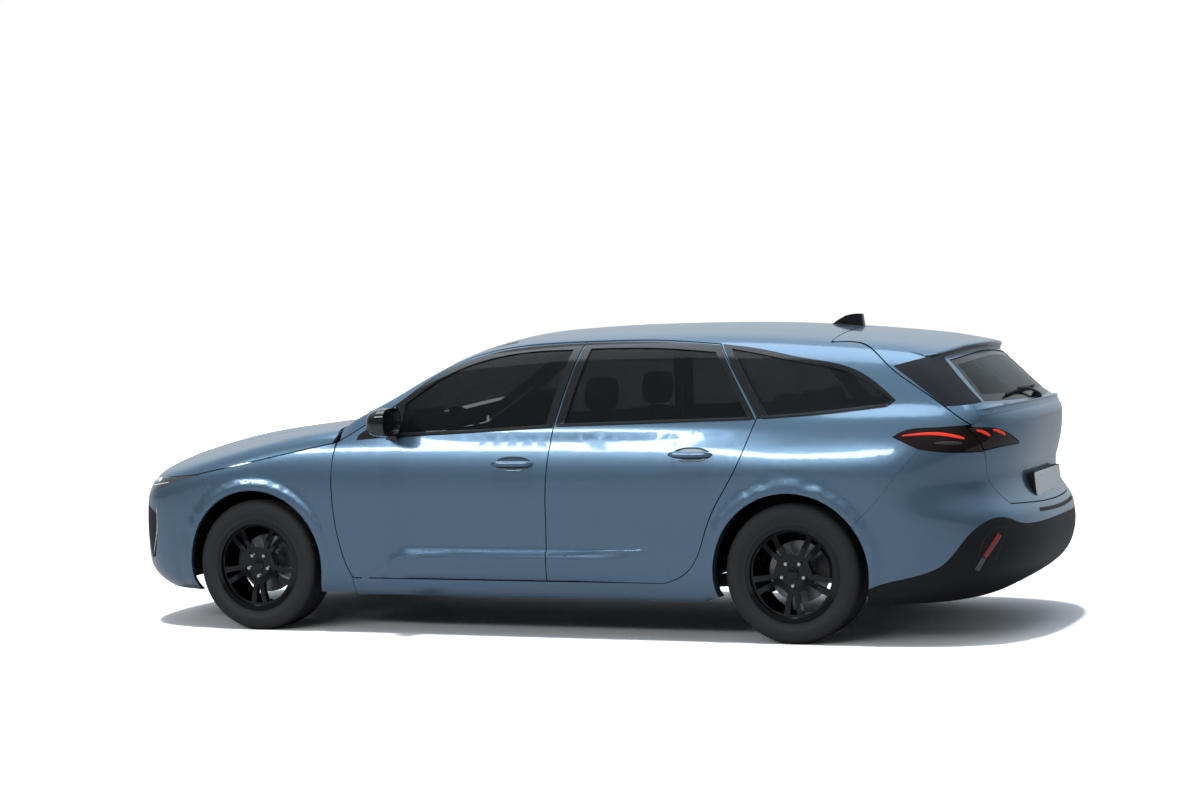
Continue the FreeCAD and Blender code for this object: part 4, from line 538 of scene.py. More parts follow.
CORNERS = [end + side for end in ("front_", "rear_") for side in ("left", "right")]
FINISHED = {
    paint: ["body_sides", "roof", "front_fenders", "bonnet", "front_bumper", "rear_bumper", "tailgate",
            *("door_" + corner for corner in CORNERS)],
    side_glass: ["tailgate_glass", *("window_" + corner for corner in CORNERS)],
    screen_glass: ["fixed_glass"],
    black_gloss: ["grille", "roof_aerial"],
    mirror_black: ["mirror_left", "mirror_right"],
    black_plastic: ["rear_valance", "cowl", "wheelhouse_liners", "dashboard", "steering_wheel"],
    primer: ["floor_pan", "front_suspension", "rear_axle", "knuckle_left", "knuckle_right"],
    seat_cloth: ["front_seats", "rear_seat"],
    smoked_lens: ["tail_lamps", "tailgate_lamps"],
    clear_lens: ["headlamps"],
    cast_metal: ["powertrain"],
    tyre_rubber: ["tyre_" + corner for corner in CORNERS],
    dark_alloy: ["rim_" + corner for corner in CORNERS],
    brake_iron: ["brake_disc_" + corner for corner in CORNERS],
}
for mat, names in FINISHED.items():
    for name in names:
        nodes[name].data.materials.clear()
        nodes[name].data.materials.append(mat)


def band(inner, outer, count, steps):
    """Flat grid between two closed outlines, each picked at the same number of points."""
    rings = [outline(runs, count) for runs in (inner, outer)]
    size = min(len(ring) for ring in rings)
    return between(*(ring[np.linspace(0, len(ring) - 1, size).round().astype(int)] for ring in rings), steps)


def ring_trim(name, inner, outer, body):
    """Gloss black band between a pane's outline and one further out, laid on the side with a fine raised edge."""
    points = on_side(band(inner, outer, 260, 7))
    pair(name, slab(points, 1.6, -1.5), body, black_gloss)


def front_door_frame():
    """Band round the front door's window, and the triangular sail that the mirror stands on."""
    body = "front_{side}_door"
    inner = [[(650, 956), (250, 973), (-98, 993)], [(-131, 1170), (-166, 1333)],
             [(0, 1329), (200, 1307), (455, 1223), (650, 1090)], [(650, 956)]]
    outer = [[(690, 936), (250, 957), (-134, 978)], [(-176, 1190), (-211, 1360)],
             [(0, 1353), (205, 1331), (462, 1250), (700, 1085)], [(690, 936)]]
    ring_trim("front_window_frame", inner, outer, body)
    points = on_side(weave([(697, 938), (885, 925)], [(885, 925), (882, 945)], [(702, 1072), (882, 945)],
                           [(697, 938), (702, 1072)], 30, 14))
    pair("mirror_sail", slab(points, 1.8, -1.5), body, black_gloss)


def rear_door_frame():
    """Band round the rear door's window."""
    inner = [[(-190, 997), (-682, 1011), (-1082, 1021)], [(-880, 1311)],
             [(-700, 1327), (-550, 1335), (-255, 1336)], [(-222, 1170), (-190, 997)]]
    outer = [[(-146, 982), (-682, 996), (-1119, 1011)], [(-894, 1341)],
             [(-700, 1356), (-550, 1361), (-219, 1361)], [(-184, 1190), (-147, 982)]]
    ring_trim("rear_window_frame", inner, outer, "rear_{side}_door")


def quarter_frame():
    """Band round the quarter window, which comes to a point at its rear."""
    inner = [[(-1168, 1028), (-1432, 1044), (-1700, 1072)], [(-1722, 1088)],
             [(-1546, 1202), (-1280, 1262), (-1102, 1298), (-952, 1325)], [(-1168, 1028)]]
    outer = [[(-1127, 1013), (-1432, 1029), (-1712, 1058)], [(-1748, 1086)],
             [(-1558, 1219), (-1290, 1281), (-1110, 1318), (-902, 1346)], [(-1127, 1013)]]
    ring_trim("quarter_window_frame", inner, outer, "car_body")


def belt_bars():
    """Slim satin black bar along the foot of the side glass, an oval section carried along the belt."""
    for name, run, body in (("front_belt", [(682, 950), (250, 965), (-120, 986)], "front_{side}_door"),
                            ("rear_belt", [(-158, 989), (-682, 1004), (-1098, 1014)], "rear_{side}_door"),
                            ("quarter_belt", [(-1152, 1018), (-1432, 1037), (-1706, 1065)], "car_body")):
        pair(name, carried(on_side(line(run, 50)), oval(7.5, 3.4, 18, 3), 1.0), body, black_plastic)


def handles():
    """Pull handles: a bar that swells at its middle and tapers into the door, over a dark oval of painted shade
    that stands for the cupped recess behind it.

    Along t from -1 to 1 the bar stands 26*(1 - t^6) - 8 mm off the door, and its section of 27 by 17 mm is
    scaled by 1 - t^8. The painted shade is an oval of 184 by 66 mm, laid just over the door in a darker copy of
    the paint, with a low rim near its edge.
    """
    half_length, shade_half_length, shade_half_height = 112, 92, 33
    for name, middle, height, body in (("front_handle", 62, 812, "front_{side}_door"),
                                       ("rear_handle", -820, 853, "rear_{side}_door")):
        t = np.linspace(-1, 1, 41)
        path = on_side(np.stack([middle + half_length * t, height + 3 * t ** 2], -1))
        stand = 26 * (1 - t ** 6) - 8
        swell = np.clip(1 - t ** 8, 0.12, 1)
        profile = oval(13.5, 8.5, 24, 2.4) * swell[:, None, None]
        pair(name, carried(path, profile, stand[:, None]), body, paint)
        # The dark oval is painted shade: a darker copy of the paint laid 0.5 mm over the door, standing for the
        # recess behind the handle.
        s = np.linspace(0, 1, 14)[None, :]
        a = np.linspace(0, 2 * np.pi, 49)[:, None]
        shade_oval = np.stack([middle - 6 + shade_half_length * s * np.sign(np.cos(a)) * np.abs(np.cos(a)) ** 0.8,
                        height + 2 + shade_half_height * s * np.sin(a)], -1)
        points = on_side(shade_oval)
        rim = 0.5 + 1.4 * bump(s + 0 * a, 0.97, 0.05)
        shade_face = points + facing(points) * rim[..., None]
        back = points - facing(points) * 1.5
        pair(name + "_hollow_shade", [shade_face, back, np.stack([shade_face[:, -1], back[:, -1]])], body, hollow_shade_paint)


def ridge(path, section, fade):
    """Low pressed edge along a path: its section (across, outward) is drawn in by the fade along the way."""
    profile = np.array(section, float)[None] * np.stack([np.ones_like(fade), fade], -1)[:, None]
    return carried(path, profile)


def door_creases():
    """Raised crease low on the doors, one stretch on each, that rises at the front and dies out at the rear."""
    section = [(-16, -1.0), (-3, 3.2), (0, 3.8), (2.5, 2.4), (5, -1.0), (-16, -1.0)]
    t = np.linspace(0, 1, 80)
    for name, run, fade, body in (
            ("front_crease", [(872, 262), (760, 330), (640, 372), (501, 391), (200, 399), (-92, 403)], t / 0.3,
             "front_{side}_door"),
            ("rear_crease", [(-104, 403), (-350, 410), (-640, 418)], (1 - t) / 0.5, "rear_{side}_door")):
        pair(name, ridge(on_side(line(run, 80)), section, np.clip(fade, 0.05, 1)), body, paint, sharp=25)


def bonnet_creases():
    """Two long ridges on the bonnet that draw together towards the nose, low enough to read as pressed edges."""
    path = on_top(line([(1150, 560), (1500, 520), (1850, 470), (2080, 420)], 70), 500.0)
    t = np.linspace(0, 1, 70)
    fade = np.clip(np.minimum(t, 1 - t) / 0.25, 0.04, 1)
    section = [(-30, -1.2), (-8, 2.0), (0, 2.8), (8, 1.0), (20, -1.2), (-30, -1.2)]
    pair("bonnet_crease", ridge(path, section, fade), "bonnet", paint, sharp=25)


def tail_lip():
    """Sharp ledge across the tailgate under its glass: a wedge section carried across, thinning to both ends."""
    y = np.linspace(-700, 700, 90)
    path = on_tail(np.stack([y, 1046 - 10 * (np.abs(y) / 700) ** 2], -1))
    fade = np.clip(1 - (np.abs(y) / 712) ** 6, 0.02, 1)
    section = [(-26, -2), (-8, 12), (-1, 19), (2, 18), (6, 10), (26, -2), (-26, -2)]
    mesh_of("tailgate_lip", ridge(path, section, fade), "tailgate", paint, sharp=30)


def snapped(points, pole):
    """Points moved onto the form along level rays from an upright line at a length on the middle plane."""
    points = np.asarray(points, float)
    start = points * (0, 0, 1) + np.array([pole, 0.0, 0.0])
    way = points * (1, 1, 0) - np.array([pole, 0.0, 0.0])
    return meet(start, way / np.linalg.norm(way, axis=-1, keepdims=True))


TAIL_LINE, NOSE_LINE = REAR_AXLE - 300, FRONT_AXLE + 100


def leaf(points, thin, thick, pole, high=1.5, count=44, rows=9, blunt=0.4):
    """Pointed band about a smooth line in space, laid on the body.

    Along t from 0 to 1 its half width is (thin + (thick - thin)*t) * sin(pi*t)^blunt.
    """
    mid = line(points, count)
    t = np.linspace(0, 1, count)
    wide = (thin + (thick - thin) * t) * np.sin(np.pi * np.clip(t, 0.01, 0.99)) ** blunt
    grid = np.repeat(mid[:, None], rows, 1)
    grid[..., 2] += wide[:, None] * np.linspace(-1, 1, rows)
    on_body = snapped(grid, pole)
    return slab(on_body, high, -1.0, 0.25)


def tail_lamps():
    """Three slanted red streaks on each tail lamp, the first one long, and a small light window under it."""
    for k, (path, body, thin, thick) in enumerate((
            ([(-1800, 866, 935), (-1860, 850, 940), (-1965, 812, 938), (-2056, 766, 916)], "car_body", 4.0, 8.5),
            ([(-2108, 733, 949), (-2128, 702, 940), (-2146, 660, 921)], "tailgate", 5.5, 8.5),
            ([(-2152, 640, 946), (-2168, 600, 937), (-2184, 555, 920)], "tailgate", 5.0, 8.0))):
        pair("lamp_streak_%d" % (k + 1), leaf(path, thin, thick, TAIL_LINE, 1.6, 60, 9, 0.22), body, red_streak)
    window = leaf([(-1935, 828, 900), (-2000, 806, 898), (-2052, 780, 895)], 7.0, 8.0, TAIL_LINE, 0.8)
    pair("lamp_window", window, "car_body", lamp_dark)


def bumper_reflectors():
    """Slanted reflector in each rear bumper corner: a red bar with a clear foot, in a raised dark surround."""
    place = snapped(weave([(-2066, 768, 300), (-2150, 700, 322)], [(-2150, 700, 322), (-2214, 640, 520)],
                          [(-2120, 760, 452), (-2150, 730, 505), (-2214, 640, 520)],
                          [(-2066, 768, 300), (-2120, 760, 452)], 30, 30), TAIL_LINE)
    pair("reflector_surround", slab(place, 3.0, -1.5, 0.12), "car_body", black_plastic)
    for name, run, cover in (
            ("reflector", [(-2128, 748, 392), (-2155, 722, 436), (-2184, 690, 486)], reflector_red),
            ("reflector_foot", [(-2098, 764, 336), (-2112, 758, 362), (-2126, 749, 388)], clear_lens)):
        pair(name, carried(snapped(line(run, 30), TAIL_LINE), oval(12, 4.5, 20, 4), 3.5), "car_body", cover)


def dome(centre, out, up, radius, height, low, turns, rings):
    """Round cap about a centre: at a share r of its radius it stands low + height*sqrt(1 - r*r) along out."""
    a, r = np.meshgrid(np.linspace(0, 2 * np.pi, turns), np.linspace(0, 1, rings), indexing="ij")
    across = np.cos(a)[..., None] * np.array([0, 1.0, 0]) + np.sin(a)[..., None] * up
    return centre + radius * r[..., None] * across + out * (height * np.sqrt(1 - r ** 2) + low)[..., None]


def rear_plate():
    """Blank plate 520 by 112 mm with rounded corners, flat on a dark housing that reaches back to the tailgate.
    The housing's black rim round the plate is partly painted shade, standing for the shade in the plate's recess.

    A place on it is (520/2)*u across and (112/2)*v up, leaned forward by its slope; high powers draw in the
    corners.
    """
    slope, height = math.radians(6), 672
    tail_x = on_tail([0.0, 655.0])[0]
    middle = np.array([tail_x - 10, 0.0, height])
    up = np.array([math.sin(slope), 0.0, math.cos(slope)])
    out = np.array([-math.cos(slope), 0.0, math.sin(slope)])
    u, v = np.meshgrid(np.linspace(-1, 1, 61), np.linspace(-1, 1, 25), indexing="ij")
    across = (260 * u * (1 - 0.035 * np.abs(v) ** 14))[..., None] * np.array([0.0, 1.0, 0.0])
    rise = (56 * v * (1 - 0.10 * np.abs(u) ** 40))[..., None] * up
    flat = middle + rise + across
    mesh_of("rear_plate", slab(flat, 2.0, -2.5, 0.03, out), "tailgate", plate_white)
    # Black housing behind the plate; its dark rim also stands in for the shade of the plate's recess.
    wide = middle + 1.10 * rise + 1.03 * across
    mesh_of("rear_plate_shade_housing", slab(wide, -1.0, -55.0, 0.0, out), "tailgate", black_plastic)
    for k, side in enumerate((-1, 1)):
        centre = middle + np.array([0.0, side * 150.0, 0.0]) + 3.0 * out + 38 * up
        mesh_of("rear_plate_screw_%d" % (k + 1), [dome(centre, out, up, 6.5, 2.2, -1.2, 25, 6)], "tailgate",
                bright_metal)


def spoiler():
    """Roof spoiler: the roof's line is carried straight back past the glass and turned under to its top edge.

    At each place across the car the section goes from the roof to a lip that stands 42*(1 - (y/625)^8) mm
    behind the tailgate's surface, down 12 mm, and forward again. Dark flanks lie beside the glass below it.
    """
    half = 618
    y = np.linspace(-half, half, 91)
    share = np.abs(y) / half
    crest = on_top(np.stack([-1760 + 0 * y, y * 0.985], -1))
    rear = on_tail(np.stack([y, 1307 - 34 * share ** 3], -1))
    foot = on_tail(np.stack([y, 1289 - 34 * share ** 3], -1))
    reach = 42 * (1 - (np.abs(y) / 625) ** 8)
    lip = rear + np.stack([-reach, 0 * y, 15 - 8 * share ** 4], -1)
    under = lip + np.array([4.0, 0.0, -12.0])
    t = np.linspace(0, 1, 14)[None, :, None]
    top = crest[:, None] * (1 - t) + lip[:, None] * t + np.array([0, 0, 1.0]) * 9 * t * (1 - t)
    edge = np.stack([lip, lip + np.array([-2.5, 0, -5.0]), under], 1)
    low = under[:, None] * (1 - t) + foot[:, None] * t
    inside = np.stack([foot, foot + np.array([20.0, 0, 12.0]), crest + np.array([0, 0, -14.0]), crest], 1)
    ends = [np.concatenate([g[k] for g in (top, edge, low, inside)]) for k in (0, -1)]
    mesh_of("roof_spoiler", [top, edge, low, inside] + [cap(ring) for ring in ends], "tailgate", paint, sharp=50)
    strip = slab(low, 1.5, -1.0, 0.0, np.array([-0.25, 0.0, -1.0]))
    mesh_of("spoiler_underside", strip, "tailgate", black_gloss)
    flank = snapped(weave([(-1966, 745, 1057), (-2010, 700, 1060), (-2080, 612, 1068)],
                          [(-2085, 610, 1069), (-1965, 566, 1190), (-1888, 522, 1284)],
                          [(-1716, 680, 1236), (-1800, 610, 1262), (-1888, 522, 1284)],
                          [(-1966, 745, 1057), (-1850, 720, 1142), (-1716, 680, 1236)], 26, 40), -1500.0)
    pair("gate_flank", slab(flank, 1.5, -1.5), "tailgate", flank_black)


def bumper_slot_shade():
    """Slim dark bar over the rear bumper's ledge: painted shade that stands for the dark slot there."""
    path = on_tail(line([(-330, 566), (0, 558), (330, 566)], 60))
    mesh_of("bumper_ledge_shade", carried(path, oval(9, 2.0, 14, 4), 0.5), "car_body", black_plastic)


def rear_wiper():
    """Rear wiper: a tapered arm and a slim blade carried along the glass, and a round cap over the pivot."""
    arm = on_tail(line([(0, 1066), (60, 1090), (150, 1100), (215, 1100)], 40))
    size = (11 - 5 * np.linspace(0, 1, 40))[:, None, None] * oval(1, 0.55, 16, 3)[None]
    mesh_of("rear_wiper_arm", carried(arm, size, 16), "tailgate", black_plastic)
    blade = on_tail(line([(-110, 1102), (150, 1100), (395, 1086)], 60))
    mesh_of("rear_wiper_blade", carried(blade, oval(4.0, 9.0, 16, 2.2), 6), "tailgate", black_plastic)
    centre = on_tail([0.0, 1066.0])
    out = facing(centre)
    up = np.cross(out, (0, 1, 0))
    round_cap = dome(centre, out, up, 24, 20, 2, 33, 8)
    foot = dome(centre, out, up, 24, 0, -4, 33, 8)[:, -1:]
    mesh_of("rear_wiper_cap", [round_cap, np.concatenate([round_cap[:, -1:], foot], 1)], "tailgate", black_plastic)


def windscreen_wipers():
    """Two wipers parked along the windscreen's foot, each an arm over a blade."""
    for name, run in (("driver_wiper", [(1108, -40), (1080, 150), (1015, 420), (935, 620)]),
                      ("passenger_wiper", [(1112, -560), (1108, -330), (1090, -60), (1050, 130)])):
        for part, route, stand, section in (("_blade", line(run, 60), 6, oval(3.6, 8.0, 14, 2.2)),
                                            ("_arm", line(run[:3], 40), 17, oval(7.0, 3.5, 14, 3))):
            mesh_of(name + part, carried(on_top(route), section, stand), "car_body", black_plastic)


def tailgate_glass_border():
    """Black printed border round the tailgate's glass, laid in the pane."""
    inner = [[(-560, 1102), (0, 1094), (560, 1102)], [(492, 1234)], [(0, 1258), (-492, 1234)], [(-560, 1102)]]
    outer = [[(-606, 1073), (0, 1065), (606, 1073)], [(518, 1252)], [(0, 1279), (-518, 1252)], [(-606, 1073)]]
    points = on_tail(band(inner, outer, 240, 6))
    mesh_of("tailgate_glass_border", slab(points, -3.4, -4.6), "tailgate", black_gloss)


def tyre(corner, centre, body, side):
    """Tyre with its tread: a section (radius, along the axle), spun about the axle.

    The tread is cut 6.5 mm deep by four grooves e^-((y - c)/3.4)^2 and, outside the middle rib, less deep by 75
    slots on each side. Two fine rings run round each wall.
    """
    half = [(206.5, 97), (214, 103.5), (228, 104.5), (250, 109.5), (276, 110.8), (298, 105), (311, 95),
            (316.2, 84), (316.9, 60)]
    section = [(r, -y) for r, y in half] + [(316.9, 0)] + half[::-1]
    profile = line(section, 116)
    profile[:, 0] = np.minimum(profile[:, 0], TYRE_RADIUS - 0.2)
    a = np.linspace(0, 2 * np.pi, 301)[:, None]
    along = profile[None, :, 1]
    on_tread = smooth(-92, -84, along) * (1 - smooth(84, 92, along))
    grooves = sum(bump(along, c, 3.4) for c in (-46, -16, 16, 46))
    shift = np.abs(along) * 0.022
    slots = smooth(0.80, 0.93, np.sin(75 * (a + shift * 0.12))) * smooth(20, 24, np.abs(along))
    depth = 6.5 * on_tread * np.clip(grooves + 0.75 * slots, 0, 1)
    wall = 0.9 * (bump(profile[None, :, 0], 246, 2.0) + bump(profile[None, :, 0], 289, 1.6)) * (1 - on_tread)
    radius = profile[None, :, 0] - depth
    out = along - np.sign(along) * wall + 0 * a
    grid = np.stack([centre[0] + radius * np.sin(a), centre[1] + out, centre[2] + radius * np.cos(a)], -1)
    inner = np.stack([grid[:, -1], grid[:, 0]], 1)
    mesh_of("tyre_" + corner + "_tread", [grid, inner], body, tyre_rubber, side, sharp=38, node="tyre_" + corner)


def wheel_centre(corner, centre, body, side):
    """Five hexagon bolts on a circle of 108 mm, and a blank centre cap."""
    bolt = [(9.5, 78), (9.5, 94), (8.0, 96), (0.0, 96)]
    for k in range(5):
        turn = math.radians(72 * k + 36)
        hub = (centre[0] + 54 * math.sin(turn), centre[1], centre[2] + 54 * math.cos(turn))
        mesh_of("wheel_bolt_%s_%d" % (corner, k + 1), [turned(bolt, hub, 6)], body, bright_metal, side, sharp=25)
    cover = turned([(0, 91), (18, 90.5), (26, 88.5), (28.5, 85), (28.5, 78)], centre, 48)
    mesh_of("wheel_cap_" + corner, [cover], body, black_gloss, side, sharp=40)


def brake_calliper(corner, centre, body, side, angle):
    """Calliper over the disc's rim: a hollow section carried round 52 degrees of a turn about an angle."""
    section = [(98, -38), (150, -42), (158, -30), (158, 8), (150, 16), (100, 16), (100, -4), (144, -4), (144, -34),
               (98, -34), (98, -38)]
    grid = turned(section, centre, 24, angle - 26, 52)
    mesh_of("brake_calliper_" + corner, [grid, cap(grid[0]), cap(grid[-1])], body, primer, side)


def wheels():
    """All four wheels, and a calliper on each knuckle or, at the rear, on the body."""
    for end, axle, angle in (("front", FRONT_AXLE, 80), ("rear", REAR_AXLE, -80)):
        for side in ("left", "right"):
            corner, centre = end + "_" + side, (axle, WHEEL_Y, TYRE_RADIUS)
            tyre(corner, centre, corner + "_wheel", side)
            wheel_centre(corner, centre, corner + "_wheel", side)
            holder = side + "_knuckle" if end == "front" else "car_body"
            brake_calliper(corner, centre, holder, side, angle)


def arch_lips():
    """Rolled inner edge of each wheel arch: a slim dark bead that follows the arch a little inside the panel."""
    a = np.radians(np.linspace(-62, 62, 70))
    radius = ARCH_RADIUS + 3
    for name, axle in (("front", FRONT_AXLE), ("rear", REAR_AXLE)):
        path = on_side(np.stack([axle + radius * np.sin(a), TYRE_RADIUS + radius * np.cos(a)], -1))
        pair(name + "_arch_lip", carried(path, oval(3.2, 3.2, 12), -3.0), "car_body", black_plastic)


def grille_bars():
    """Grille: rows of short rounded bars that fan out from the middle, standing on the dark grille panel.

    A bar's place is (across, height); the rows, 24 mm apart, follow the grille's sides, and every second row is
    set over by half of the 46 mm step.
    """
    step, half_bar, grids = 46, 15, []
    for k, height in enumerate(np.arange(424, 690, 24.0)):
        half = 318 + (height - 400) * (110 / 240) if height < 640 else 440 - (height - 640) * 0.9
        count = int(half * 2 / step) + k % 2
        for y in (np.arange(count) - (count - 1) / 2) * step:
            if abs(y) > half - 24:
                continue
            lean = half_bar * 0.16 * y / 400
            bar = on_nose([[y - half_bar, height - lean], [y, height], [y + half_bar, height + lean]])
            grids += carried(bar, oval(4.2, 5.0, 10, 2.6), -5.0)
    mesh_of("grille_bars", grids, "car_body", grille_metal)


def headlamp_inside():
    """Slim lamp: three rounded light chambers and a light line along its foot, seen through the cover."""
    for k, (x, y, z) in enumerate(((2066, 802, 726), (2108, 748, 724), (2144, 690, 720))):
        run = [(x - 14, y + 14, z + 2), (x, y, z), (x + 12, y - 16, z - 1)]
        chamber = leaf(run, 11, 12, NOSE_LINE, 1.2, 20, 9, 0.25)
        pair("lamp_lens_%d" % (k + 1), chamber, "car_body", lamp_white)
    foot = leaf([(1960, 840, 716), (2080, 775, 698), (2150, 700, 690), (2200, 560, 684)], 2.0, 4.0, NOSE_LINE,
                1.4, 70, 7, 0.2)
    pair("lamp_light_line", foot, "car_body", lamp_white)


def side_intakes():
    """Slanted daytime light below each headlamp, in a dark side intake."""
    place = snapped(weave([(2120, 740, 330), (2090, 775, 340)],
                          [(2090, 775, 340), (2062, 806, 470), (2060, 806, 560)],
                          [(2150, 700, 600), (2060, 806, 560)],
                          [(2120, 740, 330), (2160, 700, 480), (2150, 700, 600)], 16, 40), NOSE_LINE)
    pair("side_intake", slab(place, 1.2, -1.5), "car_body", black_plastic)
    light = leaf([(2056, 812, 590), (2056, 812, 500), (2086, 786, 400), (2110, 760, 345)], 5, 6, NOSE_LINE,
                 3.0, 60, 9, 0.3)
    pair("daytime_light", light, "car_body", lamp_white)


def padded_seat(name, node_name, side):
    """Seat pad made from its plain solid: remeshed evenly, eased, then swelled between sewn channels.

    Each point moves along its normal by 3 mm less 7 mm times the deepest of these grooves: the channels
    e^-(sin(pi*s)/0.16)^2, where s counts 85 mm steps up the backrest or along the cushion in the middle panel, and
    the seams e^-(d/0.006)^2 at a distance d in metres from the panel's sides.
    """
    mesh = nodes[node_name].data.copy()
    work = bmesh.new()
    work.from_mesh(mesh)
    bmesh.ops.remove_doubles(work, verts=work.verts, dist=0.00005)
    if side:
        spare = [v for v in work.verts if v.co.y * side < 0]
        bmesh.ops.delete(work, geom=spare, context="VERTS")
    work.to_mesh(mesh)
    work.free()
    piece = bpy.data.objects.new(name, mesh)
    bpy.context.scene.collection.objects.link(piece)
    grain = piece.modifiers.new("even", "REMESH")
    grain.mode, grain.voxel_size = "VOXEL", 0.011
    ease = piece.modifiers.new("ease", "SMOOTH")
    ease.factor, ease.iterations = 0.5, 8
    whole = bpy.data.meshes.new_from_object(piece.evaluated_get(bpy.context.evaluated_depsgraph_get()))
    piece.modifiers.clear()
    piece.data = whole
    count = len(whole.vertices)
    at, out = np.empty(count * 3), np.empty(count * 3)
    whole.vertices.foreach_get("co", at)
    whole.vertices.foreach_get("normal", out)
    at, out = at.reshape(-1, 3), out.reshape(-1, 3)
    middle = np.abs(at[:, 1] - side * SEAT_Y)
    half = 0.165 if side else 0.52
    steps = np.where(at[:, 2] > 0.59, at[:, 2], at[:, 0]) / 0.085
    groove = np.exp(-(np.sin(np.pi * steps) / 0.16) ** 2) * (1 - smooth(half - 0.03, half, middle))
    seam = np.maximum(bump(middle, half, 0.006), 0.0 if side else bump(middle, 0.17, 0.006))
    swell = 0.003 - 0.007 * np.maximum(groove, seam)
    whole.vertices.foreach_set("co", (at + out * swell[:, None]).ravel())
    whole.update()
    whole.materials.clear()
    whole.materials.append(seat_cloth)
    whole.shade_smooth()
    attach(piece, "car_body")
    return piece


def seats():
    """Front seats, one from each half of their node, and the rear bench, all padded."""
    left = padded_seat("front_seat_left", "front_seats", 1)
    right = padded_seat("front_seat_right", "front_seats", -1)
    rear = padded_seat("rear_bench", "rear_seat", 0)
    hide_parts("front_seats")
    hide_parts("front_seats")
    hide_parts("rear_seat")


def camera():
    """Camera looking at the car's left rear quarter: back, right and up from the three angles."""
    back = Vector((-math.sin(CAMERA_TURN) * math.cos(CAMERA_RISE),
                   math.cos(CAMERA_TURN) * math.cos(CAMERA_RISE), math.sin(CAMERA_RISE)))
    right = (-back).cross(Vector((0, 0, 1))).normalized()
    up = right.cross(-back)
    c, s = math.cos(CAMERA_ROLL), math.sin(CAMERA_ROLL)
    turned_right, turned_up = right * c + up * s, up * c - right * s
    data = bpy.data.cameras.new("camera")
    data.lens, data.sensor_width = CAMERA_LENS, SENSOR
    data.clip_start, data.clip_end = 0.1, 200
    cam = bpy.data.objects.new("camera", data)
    bpy.context.scene.collection.objects.link(cam)
    rows = [[turned_right[i], turned_up[i], back[i], CAMERA_PLACE[i]] for i in range(3)]
    cam.matrix_world = Matrix(rows + [[0, 0, 0, 1]])
    bpy.context.scene.camera = cam


def lamp(name, place, target, size, power, colour):
    """Soft rectangular lamp at a place, turned to a target."""
    data = bpy.data.lights.new(name, "AREA")
    data.shape, data.size, data.size_y = "RECTANGLE", size[0], size[1]
    data.energy, data.color = power, colour
    light = bpy.data.objects.new(name, data)
    light.location = place
    light.rotation_euler = (Vector(target) - Vector(place)).to_track_quat("-Z", "Y").to_euler()
    bpy.context.scene.collection.objects.link(light)


def overhead():
    """Sun that lights the floor and casts the shadow. Glossy rays miss it, so the paint shows no clipped line."""
    data = bpy.data.lights.new("overhead", "SUN")
    data.energy, data.angle = SUN_STRENGTH, math.radians(SUN_ANGLE)
    sun = bpy.data.objects.new("overhead", data)
    sun.rotation_euler = [math.radians(tilt) for tilt in SUN_TILT]
    sun.visible_glossy = False
    bpy.context.scene.collection.objects.link(sun)


def floor():
    """Pale floor that keeps the car's shadow. Far from the car the camera sees it at full white.

    Other rays meet a darker floor, so that the body's flanks stay as deep as the photograph's.
    """
    mesh = bpy.data.meshes.new("floor")
    mesh.from_pydata([(x * FLOOR_HALF, y * FLOOR_HALF, 0) for x, y in ((-1, -1), (1, -1), (1, 1), (-1, 1))], [],
                     [(0, 1, 2, 3)])
    ground = bpy.data.objects.new("floor", mesh)
    bpy.context.scene.collection.objects.link(ground)
    white = finish("floor_white", (0.86, 0.86, 0.87), (0.89, 0.89, 0.90), 3, (0.85, 0.95))
    mesh.materials.append(white)
    tree = white.node_tree
    shader = tree.nodes["Principled BSDF"].inputs
    place = node(tree, "ShaderNodeTexCoord").outputs["Object"]
    away = node(tree, "ShaderNodeVectorMath", {0: place}, operation="LENGTH").outputs["Value"]
    far = node(tree, "ShaderNodeMapRange", {"Value": away, "From Min": 3.5, "From Max": 9.0})
    seen = node(tree, "ShaderNodeLightPath").outputs["Is Camera Ray"]
    glow = node(tree, "ShaderNodeMath", {0: far.outputs["Result"], 1: seen}, operation="MULTIPLY")
    shader["Emission Color"].default_value = (1, 1, 1, 1)
    tree.links.new(glow.outputs[0], shader["Emission Strength"])
    pale = shader["Base Color"].links[0].from_socket
    shade = node(tree, "ShaderNodeMix", {"Factor": seen, 6: (*FLOOR_BOUNCE, 1), 7: pale}, data_type="RGBA")
    tree.links.new(shade.outputs[2], shader["Base Color"])


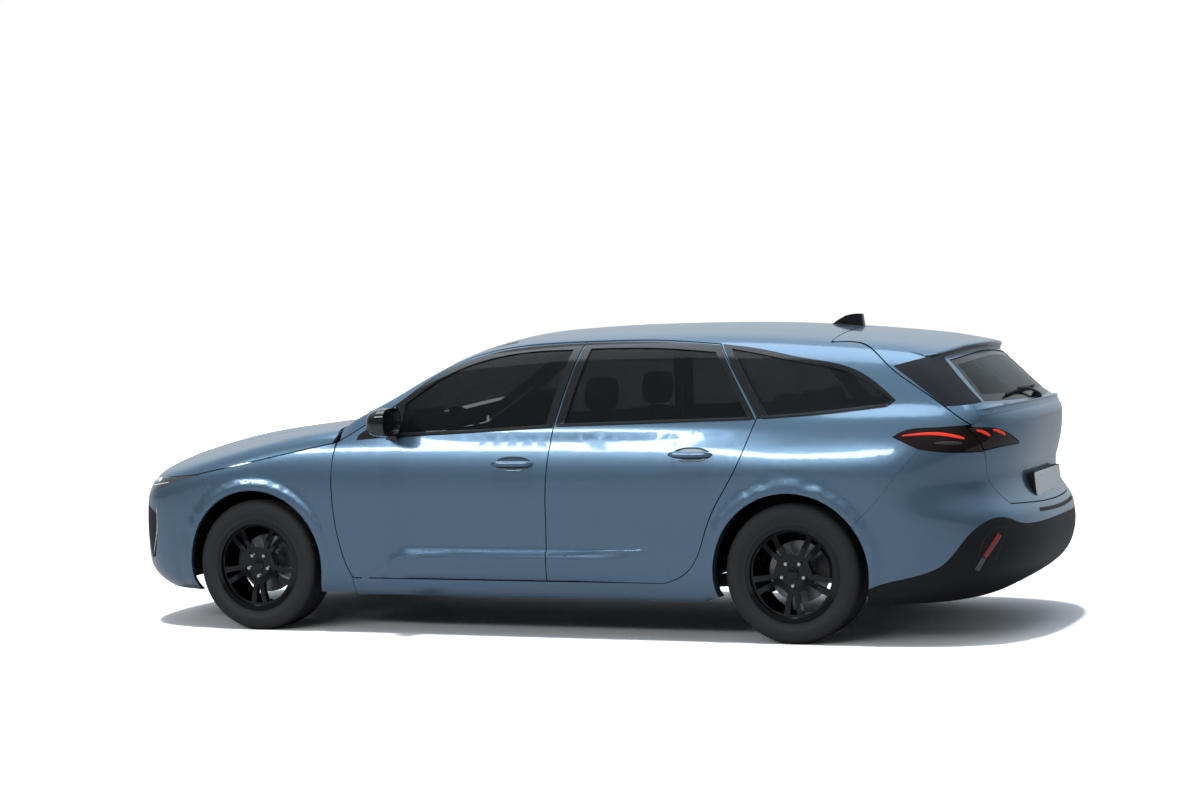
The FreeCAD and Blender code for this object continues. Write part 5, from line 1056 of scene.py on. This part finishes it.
def sky():
    """White world behind the car, for the camera and through the glass.

    The light it gives is cool, rises from the horizon upwards, and is brighter on the car's far side.
    """
    world = bpy.data.worlds.new("studio")
    bpy.context.scene.world = world
    world.use_nodes = True
    tree = world.node_tree
    path = node(tree, "ShaderNodeLightPath").outputs
    seen = node(tree, "ShaderNodeMath", {0: path["Is Camera Ray"], 1: path["Is Transmission Ray"]},
                operation="MAXIMUM").outputs[0]
    way = node(tree, "ShaderNodeTexCoord").outputs["Generated"]
    parts = node(tree, "ShaderNodeSeparateXYZ", {0: way}).outputs
    rise, beyond = (node(tree, "ShaderNodeMapRange", {"Value": parts[axis], "From Min": start, "From Max": end,
                                                      "To Min": low, "To Max": high}).outputs["Result"]
                    for axis, start, end, low, high in (("Z", 0.02, 0.75, SKY_LOW, SKY_HIGH),
                                                        ("Y", -0.15, -0.65, 0.0, FAR_SIDE)))
    room = node(tree, "ShaderNodeMath", {0: rise, 1: beyond}).outputs[0]
    strength = node(tree, "ShaderNodeMix", {0: seen, 2: room, 3: 1.0}, data_type="FLOAT").outputs[0]
    tint = node(tree, "ShaderNodeMix", {"Factor": seen, 6: (*COOL, 1), 7: (1, 1, 1, 1)}, data_type="RGBA")
    tree.links.new(strength, tree.nodes["Background"].inputs["Strength"])
    tree.links.new(tint.outputs[2], tree.nodes["Background"].inputs["Color"])


FLOOR_HALF = 40.0
FLOOR_BOUNCE = (0.22, 0.22, 0.23)
SKY_LOW, SKY_HIGH, FAR_SIDE = 0.10, 0.50, 0.42
SUN_STRENGTH, SUN_ANGLE, SUN_TILT = 3.4, 5.0, (-5, 4, 0)
COOL = (0.82, 0.92, 1.0)
LAMPS = (("ceiling", (-0.3, 0.5, 6.0), (-0.3, 0, 0.8), (9.0, 3.5), 230, COOL),
         ("side_left", (2.6, 8.5, 4.3), (0.3, 0, 0.8), (9.0, 0.80), 330, (1, 1, 1)))

front_door_frame()
rear_door_frame()
quarter_frame()
belt_bars()
handles()
door_creases()
tail_lamps()
bumper_reflectors()
rear_wiper()
rear_plate()
spoiler()
tail_lip()
bumper_slot_shade()
windscreen_wipers()
tailgate_glass_border()
wheels()
arch_lips()
grille_bars()
headlamp_inside()
side_intakes()
bonnet_creases()
seats()
camera()
floor()
sky()
for settings in LAMPS:
    lamp(*settings)
overhead()
bpy.context.scene.view_settings.view_transform = "Standard"
bpy.context.view_layer.update()
